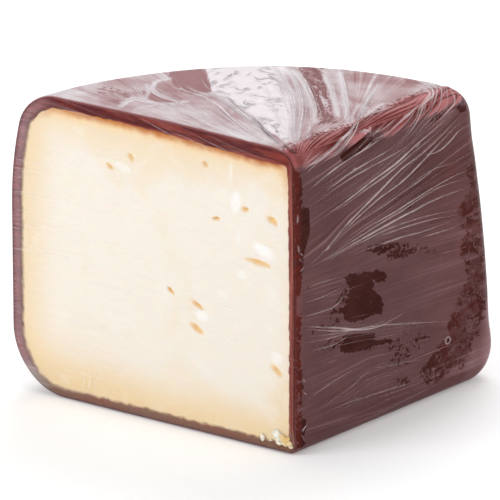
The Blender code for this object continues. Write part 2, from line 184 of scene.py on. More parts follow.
# Folds placed one by one: guide points, and the width and strength of the bright line, which is partly painted
# highlight along the fold. Where the fold has a pale band, lines edge it on both sides, and its half width at
# the start and the end and how pale it is follow. A dark crease, painted with the shade in it, has a strength
# below 0.
DRAWN_FOLDS = (
    # Top face, left of the bunch.
    (top(92.4, 13.2, 85.4, 12.9, 75.5, 11.4), 0.6, 0.8),
    (top(93.1, 18.4, 86.7, 18.8, 79.6, 17.5), 0.5, 0.5),
    (top(85.2, 24.5, 79.5, 20.6, 71, 12.6), 0.6, 0.6, 0.5, 0.7, 0.35),
    (top(72.1, 0.8, 75.1, 11.8, 71, 12.6, 65.1, 12.7, 60.2, 17.5, 60.1, 23.4), 0.7, 0.9, 1.0, 0.5, 0.75),
    (top(66, 0.8, 66.7, 4.6, 63.9, 11.2, 59.7, 16.9), 0.7, 0.7, 0.4, 0.4, 0.4),
    (top(78, 37.6, 80.8, 36.8, 81.5, 32.7, 78.3, 26.4, 73.7, 22, 66.9, 19.2,
         60.1, 18.3), 0.7, 0.9, 1.0, 0.5, 0.8),
    (top(83.9, 29.7, 77.5, 23.6, 72, 14.2), 0.6, 0.6, 0.7, 0.7, 0.6),
    (top(72.5, 29.8, 66.9, 29.5), 0.6, 0.6),
    (top(78, 37.6, 68.3, 29.6, 62.3, 27.8, 51.7, 23.9, 36.8, 14.2, 22.5, 6, 10.2, 0.8), 0.9, 1.0),
    (top(70.9, 34.2, 64.5, 30.7, 54.8, 29.3, 37.1, 19.8, 21.5, 10.7, 8.1, 2), 0.9, 1.0, 0.4, 0.3, 0.35),
    (top(58.9, 27.2, 37.8, 13.4, 26.8, 6.6, 13.5, 0.8), 0.8, 0.7),
    (top(60.3, 21.8, 48.5, 15.9, 29.3, 6.6, 15.4, 0.8), 0.7, 0.55),
    (top(60.8, 13.2, 46, 7.1, 29.5, 0.8, 17.9, 0.8), 0.7, 0.5),
    (top(46.7, 10.6, 31.1, 3.8, 14.8, 0.8), 0.6, 0.5),
    (top(47.5, 24.9, 34, 17.7, 20.9, 9, 9.2, 2.1), 0.7, 0.7, 0.3, 0.3, 0.3),
    # Right of the bunch.
    (top(52, 49.3, 38.8, 35.9, 28, 24.9, 12.2, 10.3), 0.8, 0.7, 0.7, 0.3, 0.5),
    (top(45.8, 50.1, 31.8, 35.6, 22.2, 25.5, 11.8, 13.4), 0.8, 0.8),
    (top(62.5, 68, 54.1, 61.5, 40.4, 48.3, 30, 37, 15.6, 19, 4.8, 4.5), 0.9, 1.0, 0.5, 0.3, 0.5),
    (top(59.6, 70.2, 50.2, 62.5, 39.3, 51.3, 27.2, 37.1, 14.7, 19.7, 5.1, 6.1), 0.9, 1.0, 0.8, 0.35, 0.6),
    (top(58, 70.4, 46.1, 61.7, 35.7, 51.9, 22.7, 38.1, 14.1, 26.1), 0.8, 0.9, 0.9, 0.9, 0.7),
    (top(46, 59, 34.9, 48.3, 23.7, 35.2, 10.4, 15.8), 0.7, 0.7),
    (top(50.2, 78.1, 39.5, 66.8, 28.2, 54.9, 18.3, 43.7, 11, 35.5), 0.8, 0.9, 1.1, 0.6, 0.75),
    (top(44.5, 79.6, 34.7, 67.8, 25.5, 57, 15.9, 45.6, 5.7, 32.6), 0.8, 0.9, 1.1, 0.7, 0.75),
    (top(16.2, 53.6, 10.1, 41.6, 5, 33.1), 0.8, 0.9, 0.5, 0.4, 0.5),
    (top(23.8, 73.4, 18.5, 62.4, 14.1, 53.2, 5.6, 38.9), 0.8, 0.9, 0.5, 0.4, 0.55),
    (top(10.1, 58.4, 7.5, 47.8, 5.8, 40.8), 0.7, 0.8, 0.9, 0.5, 0.6),
    (top(16.6, 79.1, 10.9, 77.9, 4.7, 74.4, 0.8, 68.2) + waxed(65.3, 96.9, 59.2, 94.6), 0.8, 0.8),
    (top(18.4, 83.1, 12.2, 81.7, 3.4, 75, 0.8, 67.7) + waxed(61.5, 95, 56.6, 91.7, 48.3, 89.1), 0.9, 1.0),
    (top(16, 82.4, 10, 80.6, 3, 74, 0.8, 66.6) + waxed(60, 95.4, 54, 92), 0.7, 0.7),
    (top(14.2, 82.3, 7.4, 80.6, 2.3, 79.1), 0.8, 0.6),
    (top(1.8, 66.5) + waxed(59.2, 98.5, 54.8, 97.1, 49.8, 95.8), 0.9, 0.95),
    # Over the ridge.
    (top(5.6, 38.9) + waxed(28.4, 97.8, 22.8, 94.9, 13.4, 93.2), 0.9, 1.0),
    (top(6.6, 38) + waxed(27, 98.2, 21.6, 95.4, 12.4, 94), 0.7, 0.8),
    (top(5.6, 38.9) + waxed(25.2, 99.2, 19.7, 96.7, 9.4, 94.7, 3.1, 92.7), 0.9, 0.9),
    (waxed(55.5, 97.7, 47.5, 95.1, 41.1, 94.4, 38, 94.1), 0.8, 0.85),
    (waxed(52.4, 98.6, 44.6, 96.6, 39.9, 96.1), 0.7, 0.6),
    (top(5.1, 42.1, 5.3, 49.4, 5, 56.4), 0.8, 0.6),
    (waxed(18.2, 95.2, 10.6, 93.8, 3.4, 91.3), 0.7, 0.5),
    (waxed(14.6, 97, 7.5, 95.5, 2.9, 94.4), 0.7, 0.4),
    # Waxed face, from the ridge down.
    (waxed(45.1, 94.2, 36.7, 92.6, 25.2, 90.8, 14.9, 88.5, 6.3, 85.9), 0.9, 1.0),
    (waxed(50.4, 89.5, 38.4, 87.9, 26, 86.1, 12.6, 83.1), 0.7, 0.7),
    (waxed(63.4, 90.3, 53.7, 87.8, 40.5, 86.1, 27.7, 84.6, 14.7, 82, 4.4, 79.3), 0.6, 0.6),
    (waxed(79.6, 93.5, 70.6, 90.1, 61.6, 87.4, 50.4, 83.6, 37.9, 80.8, 24.5, 77.6, 11.6, 74.6), 0.8, 0.95),
    (waxed(74, 89.4, 59.3, 85.1, 46.8, 81.6, 32.2, 78.3, 19.8, 75.1), 0.6, 0.55),
    (waxed(84.2, 91.2, 78.9, 89.1, 66.1, 84.4, 53.7, 81.2, 40.7, 76, 26.1, 70.2, 14.9, 64.9,
         3.7, 60.5), 0.95, 1.0),
    (waxed(85.6, 89.9, 74, 85.1, 55.4, 77.3, 42.6, 74.4, 31, 71, 15.1, 64.8), 0.75, 0.8),
    (waxed(89.5, 87.2, 83.5, 86.3, 78.2, 83.8, 72.1, 82.2, 64.6, 83.1), 0.7, 0.75),
    (waxed(90.5, 81.8, 78.3, 78.8, 63.6, 75.1, 47.9, 72.1, 28.1, 68.4, 16.8, 65.1), 0.6, 0.55),
    (waxed(92.1, 78, 80.4, 76.6, 68.8, 76.8, 55.7, 74.4), 0.5, 0.45),
    (waxed(93.2, 72.4, 76.8, 71.6, 53.8, 68.4, 34.9, 66.1, 19.4, 63.1), 0.7, 0.65),
    (waxed(91.1, 69.3, 73.5, 70.1, 55.2, 67.6, 32.3, 64.4, 11.7, 61.4), 0.6, 0.6),
    (waxed(90.1, 66.5, 68.9, 66.5, 48.4, 64.7, 26.1, 62.4, 5.2, 60.6), 0.75, 0.75),
    (waxed(86.8, 59.7, 70.2, 61.9, 50.5, 63, 28.2, 61.8, 11.7, 60.5), 0.65, 0.7),
    (waxed(85.9, 58.2, 68.9, 60.5, 53.2, 61.5, 37.5, 61.8), 0.5, 0.6),
    (waxed(83.5, 57.2, 65.8, 57.6, 54.2, 58.6, 40.6, 59, 27.1, 59.1), 0.6, 0.55),
    (waxed(84.9, 54.5, 74.3, 55.2, 63.7, 55.8), 0.5, 0.45),
    (waxed(2.4, 54.3, 11.7, 54.2, 23, 53.3), 0.5, 0.35),
    (waxed(3, 49.9, 12.7, 49.3, 24.1, 50), 0.5, 0.35),
    (waxed(2.1, 45.5, 11.7, 44.7, 18.9, 44.6, 25.1, 47.5), 0.6, 0.6),
    (waxed(2.1, 42.4, 18.2, 37.8, 34.4, 33, 47, 32.2, 56, 33.5), 0.7, 0.75),
    (waxed(2.5, 41.5, 18.9, 36.5, 36.6, 33.2, 50.2, 33.4), 0.5, 0.6),
    (waxed(2.1, 38.7, 18.2, 35.7, 37.6, 33.2, 57.3, 29.1, 83, 23.2), 0.6, 0.65),
    (waxed(3, 36.4, 16.9, 34.7, 30.3, 33.9), 0.5, 0.5),
    (waxed(5.3, 33.4, 18.2, 32.1, 27.9, 33.3), 0.6, 0.55),
    (waxed(6.9, 12.3, 26.3, 15.4, 39.3, 18.6, 64, 15.2, 77.3, 14.9), 0.5, 0.25),
    (waxed(5.3, 10.7, 28, 10.8, 54.2, 9.1, 77.3, 9.2), 0.5, 0.25),
    (waxed(3.7, 17.3, 18.2, 20, 32.5, 21.4), 0.5, 0.4),
    # Dark creases, painted with the shade in them.
    (top(52.2, 30.8, 48.4, 28.4, 41.6, 23.4), 0.6, -0.5),
    (top(33.7, 19.4, 27.6, 15.5, 19, 8.8, 9.3, 2.9), 0.8, -0.75),
    (top(16.8, 10.4, 15.3, 10.3), 0.9, -0.7),
    (top(8, 3.5, 5.2, 0.8), 1.6, -0.9),
    (top(4.7, 2.9, 1.7, 0.8), 1.7, -0.9),
    (top(2.3, 2.6, 0.8, 0.8), 1.4, -0.8),
    (top(69.3, 46.6, 69.2, 50.1), 0.9, -0.4),
    (top(63.6, 43.4, 64.4, 47.6, 63.9, 50), 0.9, -0.45),
    (top(60.6, 51.9, 61.7, 56.6), 0.8, -0.4),
    (top(60.4, 36.8, 59.8, 40.1), 0.8, -0.35),
    (top(49.3, 42.6, 48.3, 44.9), 0.8, -0.35),
    # Over the dark band of the cut face, lines of painted sheen.
    (top(58, 4) + cut(52, 98, 44, 96.2, 30, 93.6, 18, 91.6), 0.5, 0.3),
    (top(66, 5) + cut(60, 98.6, 48, 95.2, 38, 92.2, 30, 89), 0.5, 0.36),
    (top(50, 3) + cut(44, 98.6, 34, 96.2, 20, 93.4, 9, 91.4), 0.5, 0.26),
    (top(40, 2) + cut(34, 98.4, 24, 96.4, 14, 95), 0.5, 0.24),
    (cut(114.4, 70.2, 110.3, 70.7, 104.6, 72.1), 0.6, 0.5),
    (cut(114.4, 65.5, 109.6, 65.8, 99.8, 67.1), 0.6, 0.6),
    (cut(114.4, 59.5, 109.6, 59.5, 101.5, 60.4), 0.6, 0.5),
    (cut(114.4, 54.8, 107.2, 55, 90.9, 56.5), 0.8, 0.65),
    (cut(114.4, 46.7, 107.3, 46.9, 93.4, 49), 0.6, 0.5),
    (cut(113.8, 36, 106, 35.6, 96, 36), 0.6, 0.4),
    # Up from the foot of the cut face.
    (cut(85.1, 13.9, 85.5, 8.4, 86.6, 2.4), 0.9, 0.4),
    (cut(82.7, 13.1, 83.1, 8.3, 84, 2.7), 0.8, 0.45),
    (cut(80.2, 10.9, 81.1, 6.7, 81.5, 2.4), 0.7, 0.35),
    (cut(95, 5.5, 96, 3.9, 97, 2.7), 0.7, 0.4),
    (cut(92.5, 5, 93.2, 3.6, 94.2, 2), 0.7, 0.4),
    (cut(59.6, 11.8, 64.4, 6.1, 67.6, 2), 0.8, 0.35),
    (cut(75, 8.6, 76.6, 4.2, 77.2, 1.6), 0.7, 0.35),
)

# Fine pleats between them, pale with painted highlight: first and last pleat's guide points, count, width and
# strength.
PLEAT_FAMILIES = (
    # Waxed face, from the ridge down.
    (waxed(1, 85.5, 19, 89, 37, 93, 50, 98),
     waxed(1, 74, 22, 77.2, 47, 81.6, 59, 86.1, 78, 92.4, 88, 97), 7, 0.5, 0.26),
    (waxed(88, 91, 63, 83.4, 46, 76.8, 27, 70.4, 14.7, 64.9),
     waxed(90.6, 67.1, 68.9, 66.5, 48.4, 64.7, 19.9, 61.3, 3.5, 59.9), 8, 0.45, 0.15),
    (waxed(92, 66, 70, 65.6, 48, 63.8, 20, 61),
     waxed(88, 55, 66, 56.8, 43, 59.4, 25, 59.8, 9, 59.8), 6, 0.4, 0.12),
    (waxed(1, 58, 12, 57, 24, 57.4, 36, 57.2), waxed(1, 47, 11, 46.6, 28, 45.6, 36, 44.4), 5, 0.4, 0.14),
    (waxed(1, 43.6, 12.7, 41.4, 26.7, 37.1, 42.8, 34.9, 58, 34),
     waxed(3, 39.2, 17.9, 36.2, 32.4, 33.3, 50.2, 32, 62, 33.3), 4, 0.4, 0.2),
    (waxed(4, 38, 23, 34.9, 50, 30.2, 62, 29, 88, 26),
     waxed(2, 32.6, 17, 31.6, 50, 27.5, 62, 26.4, 84, 22.3), 5, 0.4, 0.2),
    (waxed(5, 13.8, 20, 15, 36.7, 18.3, 61.9, 15.6, 80, 16),
     waxed(6, 5.4, 40, 4.2, 69, 4.2, 86, 4.6), 8, 0.4, 0.22),
    (waxed(30, 24, 44, 21.5, 62, 20, 82, 19), waxed(26, 17, 44, 16.5, 62, 17.5, 80, 17.5), 3, 0.4, 0.14),
    # Ridge.
    (top(3.5, 8) + waxed(10, 99, 5, 96, 1, 92.5),
     top(3.5, 62) + waxed(56, 98.6, 42, 94.4, 26, 89), 6, 0.5, 0.3),
    (top(7, 66, 3, 62) + waxed(54, 97.6, 46, 94.2), top(8, 92, 3, 88) + waxed(82, 97, 72, 93), 5, 0.5, 0.3),
    # Top face.
    (top(64.6, 65.5, 45.2, 48.6, 22.7, 25.1, 3.3, 2.6),
     top(57, 73, 41, 58.8, 25.5, 43.3, 13, 27, 4, 9), 8, 0.7, 0.5),
    (top(78, 44, 64.6, 32, 45.2, 24, 22.8, 11.5, 4, 1.5),
     top(72, 50, 58, 35.8, 33.6, 19.9, 6.2, 2.4), 5, 0.6, 0.5),
    (top(79.8, 38.4, 58, 25, 30.9, 10.7, 6, 1), top(90, 21, 61.3, 9.8, 34, 3.2, 16, 1.2), 5, 0.6, 0.4),
    (top(100, 22, 92.9, 15.4, 84.5, 12.7, 72, 8, 62, 1),
     top(90, 40, 86.7, 35.8, 74.7, 25.8, 60.5, 18.9), 5, 0.6, 0.45),
    (top(49.7, 77, 28.8, 54.4, 14, 38, 6, 30), top(41, 80, 24.8, 57.5, 10, 40, 4, 31), 4, 0.7, 0.6),
    (top(31, 84, 20, 64, 9, 44, 3, 33), top(12, 64, 9.9, 51.3, 7, 40, 2.5, 34), 5, 0.6, 0.5),
    (top(21, 88, 13, 84, 5, 78) + waxed(66, 95, 50, 86),
     top(10, 92, 6, 88, 2, 83) + waxed(80, 95, 60, 88), 4, 0.6, 0.6),
    (top(66, 74, 50, 66, 36, 60), top(34, 88, 28, 78, 22, 68), 4, 0.6, 0.4),
    # Faintly across the cheese, lines of painted sheen.
    (cut(114, 62, 106, 61, 98, 60), cut(114, 30, 106, 29.4, 96, 29), 11, 0.5, 0.32),
    (cut(112, 86, 86, 84, 60, 80, 36, 72), cut(113, 66, 100, 65.5, 76, 64, 50, 60), 5, 0.5, 0.14),
    # The wheel's own side.
    (side(3, 78, 24, 80, 46, 86, 66, 94), side(3, 44, 26, 50, 48, 57, 84, 66), 12, 0.6, 0.5),
    (side(4, 42, 26, 47, 48, 53, 86, 58), side(8, 12, 28, 17, 52, 25, 86, 30), 9, 0.6, 0.5),
    (side(86, 82, 70, 86, 52, 92, 40, 97), side(86, 34, 66, 22, 48, 13, 38, 5), 8, 0.55, 0.4),
)
PLEAT_SEED = 11
PLEAT_STEP = 0.8
PLEAT_HEIGHT = 0.42  # share of a pleat's width
PLEAT_SAG = 0.05  # of its feet into the film
PLEAT_GUIDES = 7  # where a family's first and last pleats have different numbers of points
LEAST_TAPER = 0.12

# Short bright crinkles of film, painted pale as glints: both ends, and width.
CRINKLE_GLINTS = (
    (((0.3, 0.5, 79.6), (0.6, 0.4, 75.9)), 0.7),
    (((0.5, 0.5, 69.6), (0.2, 1.0, 66.2)), 0.7),
    (waxed(1.2, 67, 2.9, 66), 0.7),
    (waxed(0.8, 64.6, 2.6, 63.4), 0.6),
    (waxed(3.2, 61.9, 0.9, 60.2), 0.5),
    (waxed(2.1, 25.6, 3.5, 23.4), 0.5),
    (waxed(2.4, 20.4, 4.4, 19), 0.45),
    (waxed(1.6, 7, 3.4, 4.6), 0.5),
    (waxed(4.8, 9.4, 1.8, 7.4), 0.45),
    (waxed(13.4, 63.9, 16.6, 65.9), 1.0),
    (waxed(32.5, 92.2, 38.5, 94), 0.8),
    (waxed(28.5, 86.8, 30, 87.6), 0.8),
    (waxed(60.5, 86.2, 63.5, 87.8), 0.8),
    (((0.2, 34.5, 98.6), (0.6, 38.4, 97.4)), 1.3),
    (((0.8, 33.0, 99.2), (0.3, 36.6, 96.4)), 1.1),
    (((1.0, 39.0, 99.2), (0.3, 37.5, 96.0)), 1.1),
    (top(16, 11, 13, 9.5), 1.0),
    (top(9, 14, 8.5, 12.5), 0.8),
)
BUBBLE = (78.4, 17.9, 1.35)  # along, up and radius of the ring of air on the waxed face
BUBBLE_POINTS = 25

# Outlines in these tables are flat runs of the face's two coordinates.
# Where the film clings to the wax and the haze is gone: face, level, softness and outline.
CLING_PATCHES = (
    ("waxed", 0.9, 1.3, (24.5, 53, 37, 51.5, 39, 48, 39.7, 44.3, 43.6, 40.5, 44.8, 38.5, 43, 36.3,
     36.4, 36.4, 28, 37.2, 24, 39.3, 23, 42.5, 27, 46, 27, 48.7)),
    ("waxed", 0.9, 1.0, (37, 51.1, 41.7, 50.8, 46.5, 47.9, 45.3, 45.9, 41.7, 46.6, 39.3, 48.6)),
    ("waxed", 0.95, 1.0, (24.6, 33.1, 30.5, 32.7, 40.6, 29.7, 38.3, 28.2, 48.4, 26.1, 49, 25.2, 37.7, 25.9,
     27, 27.4, 22.2, 28.6, 21.6, 30.1)),
    ("waxed", 1.35, 1.0, (22.5, 92.8, 26.3, 94.5, 30.5, 95.6, 38.6, 95.4, 37.7, 93.3, 30.5, 92, 27, 91.2,
     23.7, 91.5)),
    ("waxed", 1.3, 0.8, (2.1, 80.9, 5.8, 80, 6.3, 75.8, 6.2, 72, 4, 67.7, 2.4, 69.3, 1.9, 75.4)),
    ("waxed", 0.58, 1.6, (35.1, 59.1, 43.5, 59.6, 51.8, 57.4, 62.7, 53.2, 72.3, 50.6, 72.3, 48.9,
     62.7, 51.3, 48.3, 52.3, 46.5, 54.2, 41.7, 55.5)),
    ("waxed", 0.34, 2.6, (47.2, 25.3, 53.2, 26, 62.9, 25, 70.1, 22.3, 67.7, 19.1, 62.9, 17.4, 53.3, 16.1,
     46.7, 17, 47.3, 21.1)),
    ("waxed", 0.34, 2.0, (46, 11.1, 58, 11.7, 63, 8.9, 52, 8.7)),
    ("waxed", 0.28, 3.0, (50, 70.8, 52.9, 72.4, 60.1, 70.9, 66.2, 65.3, 62.6, 64.6, 55.4, 66.5)),
    ("waxed", 0.52, 1.2, (66.6, 94.9, 73.9, 95.7, 81.8, 95.8, 88.2, 93.6, 88.8, 91.5, 81.9, 93.1, 75, 93.5,
     68.7, 93)),
    ("waxed", 0.62, 2.2, (89.1, 76.3, 88.5, 70.3, 90.4, 66.8, 87.4, 63.8, 85, 59.8, 85, 53.7, 86.9, 50.2,
     85.1, 45.3, 87, 40.2, 88.8, 36.7, 86.4, 33.4, 84, 30.2, 79.8, 25.2, 78, 20, 72, 16, 66, 12.6, 62, 9,
     68, 6, 87.3, 6.5, 91, 12, 95.8, 17, 101, 26, 108, 40, 108, 60, 100, 78)),
    ("waxed", 0.9, 0.8, (2.5, 11.3, 4.1, 11.3, 4.1, 7.9, 2.8, 7.5)),
    ("waxed", 0.9, 0.5, (4.9, 54.6, 5.9, 54.6, 5.9, 53.6, 4.9, 53.6)),
    ("waxed", 0.8, 1.2, (-3, 46, -3, 93, 2.2, 93, 2.8, 84, 2, 78, 4, 70, 2.4, 62, 1.4, 54)),
    ("waxed", 0.62, 1.2, (-3, 2, -3, 47, 1.6, 46, 1.2, 30, 2.8, 22, 1.8, 14, 3.8, 8, 4, 2)),
    ("waxed", 0.42, 2.4, (24, 51, 30, 50, 30, 40, 24, 39, 14, 38, 8, 39, 14, 42, 20, 46)),
    ("waxed", 0.4, 2.0, (21.6, 30.1, 24, 33, 16, 34, 6, 35, 4, 33, 14, 31)),
    ("top", 0.62, 2.5, (56, 72, 49.6, 78, 39.2, 65.2, 30.5, 56, 18, 41, 9.2, 32.3, 12.3, 27, 20.2, 34.9,
     33.3, 49.4, 45.5, 62.6)),
    ("top", 0.3, 2.5, (35.7, 48.6, 29.4, 43.4, 21, 34.2, 14.6, 25.9, 16.2, 24.6, 23.3, 32.5)),
    ("top", 0.12, 3.0, (31.5, 66.6, 26.1, 70.8, 16, 69.5, 9, 63.7, 10.1, 58.3, 10.8, 42.1, 20.6, 52.4)),
    ("top", 0.85, 1.0, (23, 84.4, 19.8, 86, 14.2, 82.3, 12.6, 78, 16.8, 78.9)),
    ("top", 1.1, 2.4, (86, 46, 88, 62, 60.6, 33.6, 63, 28, 69.5, 29.4, 77, 36)),
    ("side", 0.66, 5.0, (22, 20, 40, 34, 44, 58, 32, 70, 24, 56, 18, 38)),
    ("side", 0.6, 6.0, (92, 62, 120, 66, 126, 78, 104, 84, 90, 76)),
    ("side", 0.62, 5.0, (110, 18, 136, 22, 140, 36, 122, 40, 108, 30)),
    ("side", 0.58, 4.0, (58, 12, 78, 16, 80, 26, 64, 26)),
    ("top", 1.0, 1.2, (78.6, 21.6, 72.8, 20.8, 65.4, 18.5, 61.8, 18.2, 64, 14.6, 69.9, 15.2, 74.1, 17.8)),
    ("top", 0.5, 3.0, (92.3, 14.5, 89.8, 20, 80, 18.1, 75.6, 10.9, 76, 5, 82.2, 7)),
)
# The ridge between the top and the waxed face, where the film is drawn tight: its two borders.
RIDGE_TOP = (0, 4.5, 10, 5.2, 19, 6.2, 25, 4.6, 32, 3.6, 42, 5.4, 60, 5.8, 68, 6.8, 76, 5.1, 90, 4)
RIDGE_WAXED = (
    0, 94.6, 10, 94.2, 18, 94.8, 22, 96.2, 40, 96.8, 46, 94.2, 56, 94.6, 66, 95.4, 80, 96.6, 100, 97.6,
)
# Crumpled white film, where it gathers on the top and under the base: as above.
WHITE_PATCHES = (
    ("top", 1.0, 1.6, (88, 60.5, 76, 82, 63.3, 68.5, 42.8, 46.5, 21.3, 22.5, 9.5, 6.5, 20.6, 11.6,
     34.9, 20.3, 47.7, 27.9, 58.6, 32.4, 66, 41, 77, 52.5)),
    ("top", 0.46, 2.0, (11, 18, 22, 33, 14, 26, 5, 14, 2, 5, 6, 8)),
    ("base", 0.55, 9.0, (52, 20, 66, 34, 60, 52, 40, 60, 26, 48, 30, 28)),
)

# Where the haze is thicker or thinner than elsewhere on its face: face, change in alpha, softness, outline.
HAZE_PATCHES = (
    ("waxed", 0.13, 4.0, (99, -4, 120, -4, 120, 104, 98, 104, 99, 60)),
    ("waxed", 0.05, 3.0, (88, 0, 104, 0, 104, 16, 92, 14)),
    ("waxed", -0.03, 8.0, (46, 72, 90, 68, 90, 84, 60, 82)),
    ("top", 0.08, 6.0, (84, -6, 120, -6, 112, 30, 97, 22, 90, 8)),
    ("top", 0.10, 4.0, (14, -4, 70, -4, 62, 10, 56, 16, 34, 8, 16, 3)),
    ("top", -0.05, 5.0, (60, 16, 88, 12, 92, 40, 70, 44, 58, 30)),
    ("top", -0.07, 5.0, (10, 50, 30, 56, 40, 84, 20, 90, 10, 72)),
    ("top", -0.06, 1.4, (74.8, 34, 78.8, 35, 79.3, 30.5, 75.7, 25, 71.3, 21.5, 66.2, 20, 61.2, 19.8,
     64.2, 25.7, 69.9, 30.9)),
    ("top", 0.26, 2.0, (62.6, 67, 59.3, 69.6, 40.8, 49.2, 23.5, 27.2, 9, 8.9, 9.1, 6.1, 21.1, 19.6,
     38.3, 40.2)),
    ("cut", 0.05, 12.0, (10, 30, 40, 34, 52, 60, 44, 90, 14, 88, 6, 60)),
)
# Where the wax shows darkest through the film on the top.
DARK_TOP = (
    56, 72, 49.6, 80, 39.2, 65.2, 30.5, 56, 18, 41, 9.2, 32.3, 12.3, 27, 20.2, 34.9, 33.3, 49.4, 45.5, 62.6,
)

# How streaks run: on each face, lines that the film is drawn along, each with a number that rises across.
FLOW_LINES = {
    "waxed": (
        (0, (0, -2, 110, -2)),
        (7, (0, 8, 40, 6, 85, 5.5, 110, 5)),
        (12, (0, 11.3, 27, 11.4, 47, 12.2, 69, 13, 110, 13.5)),
        (17, (0, 13, 20, 14.6, 37, 18, 62, 16.5, 80, 16, 110, 17)),
        (29, (0, 35, 23, 33.5, 50, 28.7, 62, 27.2, 84, 22.5, 110, 21)),
        (34, (0, 43, 13, 41, 27, 37, 43, 34.9, 58, 33.5, 110, 32)),
        (55, (0, 57, 54, 57.5, 66, 56.8, 87, 55, 110, 54)),
        (61, (0, 60, 25, 60.3, 43, 60.5, 60, 60.4, 84, 58.5, 110, 58)),
        (65, (0, 60.6, 20, 61.6, 48, 64.7, 69, 66.5, 90, 67.2, 110, 67.5)),
        (78, (0, 61.6, 14.7, 64.9, 27, 71, 46, 77, 63.5, 83.7, 86.6, 91.3, 110, 98)),
        (83, (0, 73, 22, 77.2, 38, 79.8, 47, 81.8, 59, 86, 78, 93, 110, 104)),
        (89, (0, 82.5, 7.5, 83.1, 27, 84.3, 48, 88.9, 61, 94.3, 110, 112)),
        (97, (0, 85.4, 19, 89, 37, 93, 60, 100, 110, 118)),
        (105, (0, 94, 13, 95.2, 25, 98, 40, 104, 110, 130)),
    ),
    "top": (
        (0, (0, -20, 26, -10, 62, 0, 120, 4)),
        (11, (0, -10, 25.5, -2.9, 61.9, 8.2, 88.3, 12.9, 120, 16)),
        (25, (0, 5, 32.7, 19.1, 63.2, 23.3, 88.6, 25.7, 120, 27)),
        (29, (0, 12, 25.5, 25.8, 51.3, 27.5, 71.6, 29, 120, 31)),
        (33, (0, 20, 38.7, 29.9, 71.3, 32, 92.4, 34.5, 120, 36)),
        (49, (0, 40, 33.8, 47.5, 66.3, 46.5, 92, 45, 120, 44)),
        (54, (0, 48, 44.4, 53, 71.6, 50.6, 92.8, 47.8, 120, 46)),
        (62, (0, 56, 34.4, 63.2, 50.3, 59.5, 71.6, 55.1, 92.4, 51, 120, 48)),
        (69, (0, 64, 38, 72, 61.6, 62.5, 91.6, 57.2, 120, 54)),
        (75, (0, 72, 35.4, 78, 62.6, 66.7, 89.1, 61.2, 120, 58)),
        (83, (0, 78, 32.9, 82.5, 53.9, 75, 77, 71.8, 120, 69)),
        (89, (0, 82, 37.9, 84, 52.2, 80, 62.9, 79.5, 120, 77)),
        (95, (0, 86, 40, 87, 64.7, 88, 78.8, 85.2, 120, 80)),
        (101, (0, 90, 60, 91.5, 90, 89, 120, 85)),
        (109, (0, 97, 60, 98, 120, 96)),
    ),
    "cut": (
        (0, (0, -2, 120, -2)),
        (34, (0, 32, 38, 38, 120, 37)),
        (58, (0, 54, 60, 60, 120, 60)),
        (80, (0, 70, 40, 79, 66, 86, 120, 88)),
        (92, (0, 78, 20, 83, 54, 93, 120, 103)),
        (108, (0, 90, 40, 101, 120, 112)),
    ),
    "side": (
        (-10, (0, -20, 200, 0)),
        (20, (0, 12, 200, 42)),
        (70, (0, 66, 200, 96)),
        (110, (0, 104, 200, 136)),
    ),
    "base": (
        (0, (0, -20, 120, -6)),
        (100, (0, 110, 120, 96)),
    ),
}
FACES = ("waxed", "top", "cut", "side", "base")
FLOW_SHIFT = 40.0  # between one face's streaks and the next's
LEAST_GAP = 0.05  # between two flow lines

# Film on each face: alpha where it stands off the wax, alpha where it clings, how streaked it is (on the waxed
# face by height too), and how much it clings outside the patches.
# The haze's whitish veil is partly the film's own milkiness and partly painted reflection of the white room,
# heaviest on the top.
FILM_HAZE = {"waxed": 0.115, "top": 0.62, "cut": 0.015, "side": 0.14, "base": 0.2}
FILM_CLING = {"waxed": 0.004, "top": 0.40, "cut": 0.02, "side": 0.02, "base": 0.05}
FILM_STREAK = {"waxed": 0.8, "top": 0.5, "cut": 0.5, "side": 0.8, "base": 0.9}
STREAKS_BY_HEIGHT = (0, 0.5, 18, 0.5, 24, 0.3, 52, 0.3, 60, 0.6, 80, 0.75, 100, 1)
FILM_CLING_ELSEWHERE = {"waxed": 0.0, "top": 0.0, "cut": 0.0, "side": 0.1, "base": 0.2}
RIM_HAZE = (0.30, 0.04)  # over the rind of the cut face, by the side and by the base

# Pale smears of curd and fat on the cut face: across, up, length, width, tilt, amount.
SMEARS = (
    (25.0, 78.4, 9.0, 4.2, 80, 0.9),
    (27.0, 88.0, 10.0, 1.4, 86, 0.5),
    (13.9, 64.6, 9.5, 4.6, -18, 1.0),
    (38.6, 38.6, 7.0, 4.0, -10, 0.8),
    (8.8, 30.6, 5.0, 4.4, 0, 0.8),
    (22.6, 55.0, 4.0, 3.6, 60, 0.6),
    (70.0, 81.5, 8.0, 3.0, -15, 0.6),
    (24.0, 67.0, 7.0, 1.6, 84, 0.4),
    (6.5, 94.0, 6.0, 2.0, 0, 0.5),
    (30.0, 47.0, 5.0, 2.4, -30, 0.4),
)
# Crumbs caught under the film at the foot of the cut face: across, up, radii, tone from white to orange.
CRUMBS = (
    (8.3, 5.6, 1.5, 1.3, 0.0),
    (7.6, 4.0, 1.1, 1.1, 0.1),
    (7.0, 2.9, 1.3, 0.7, 0.2),
    (6.0, 4.6, 1.3, 1.2, 0.85),
    (4.6, 4.3, 1.5, 1.1, 1.0),
    (4.9, 2.9, 1.2, 0.8, 0.7),
    (3.3, 3.3, 1.1, 0.9, 0.85),
    (2.6, 2.4, 0.7, 0.5, 0.4),
    (13.9, 3.4, 0.8, 1.0, 0.1),
    (10.6, 3.1, 0.4, 0.3, 0.15),
)
CRUMB_THICKNESS = 0.6
CRUMB_FOOT = 0.3  # least height above the base
CRUMB_MARGIN = 0.9  # of film standing off round a crumb
CRUMB_LIFT = 1.15
CRUMB_SEED = 5

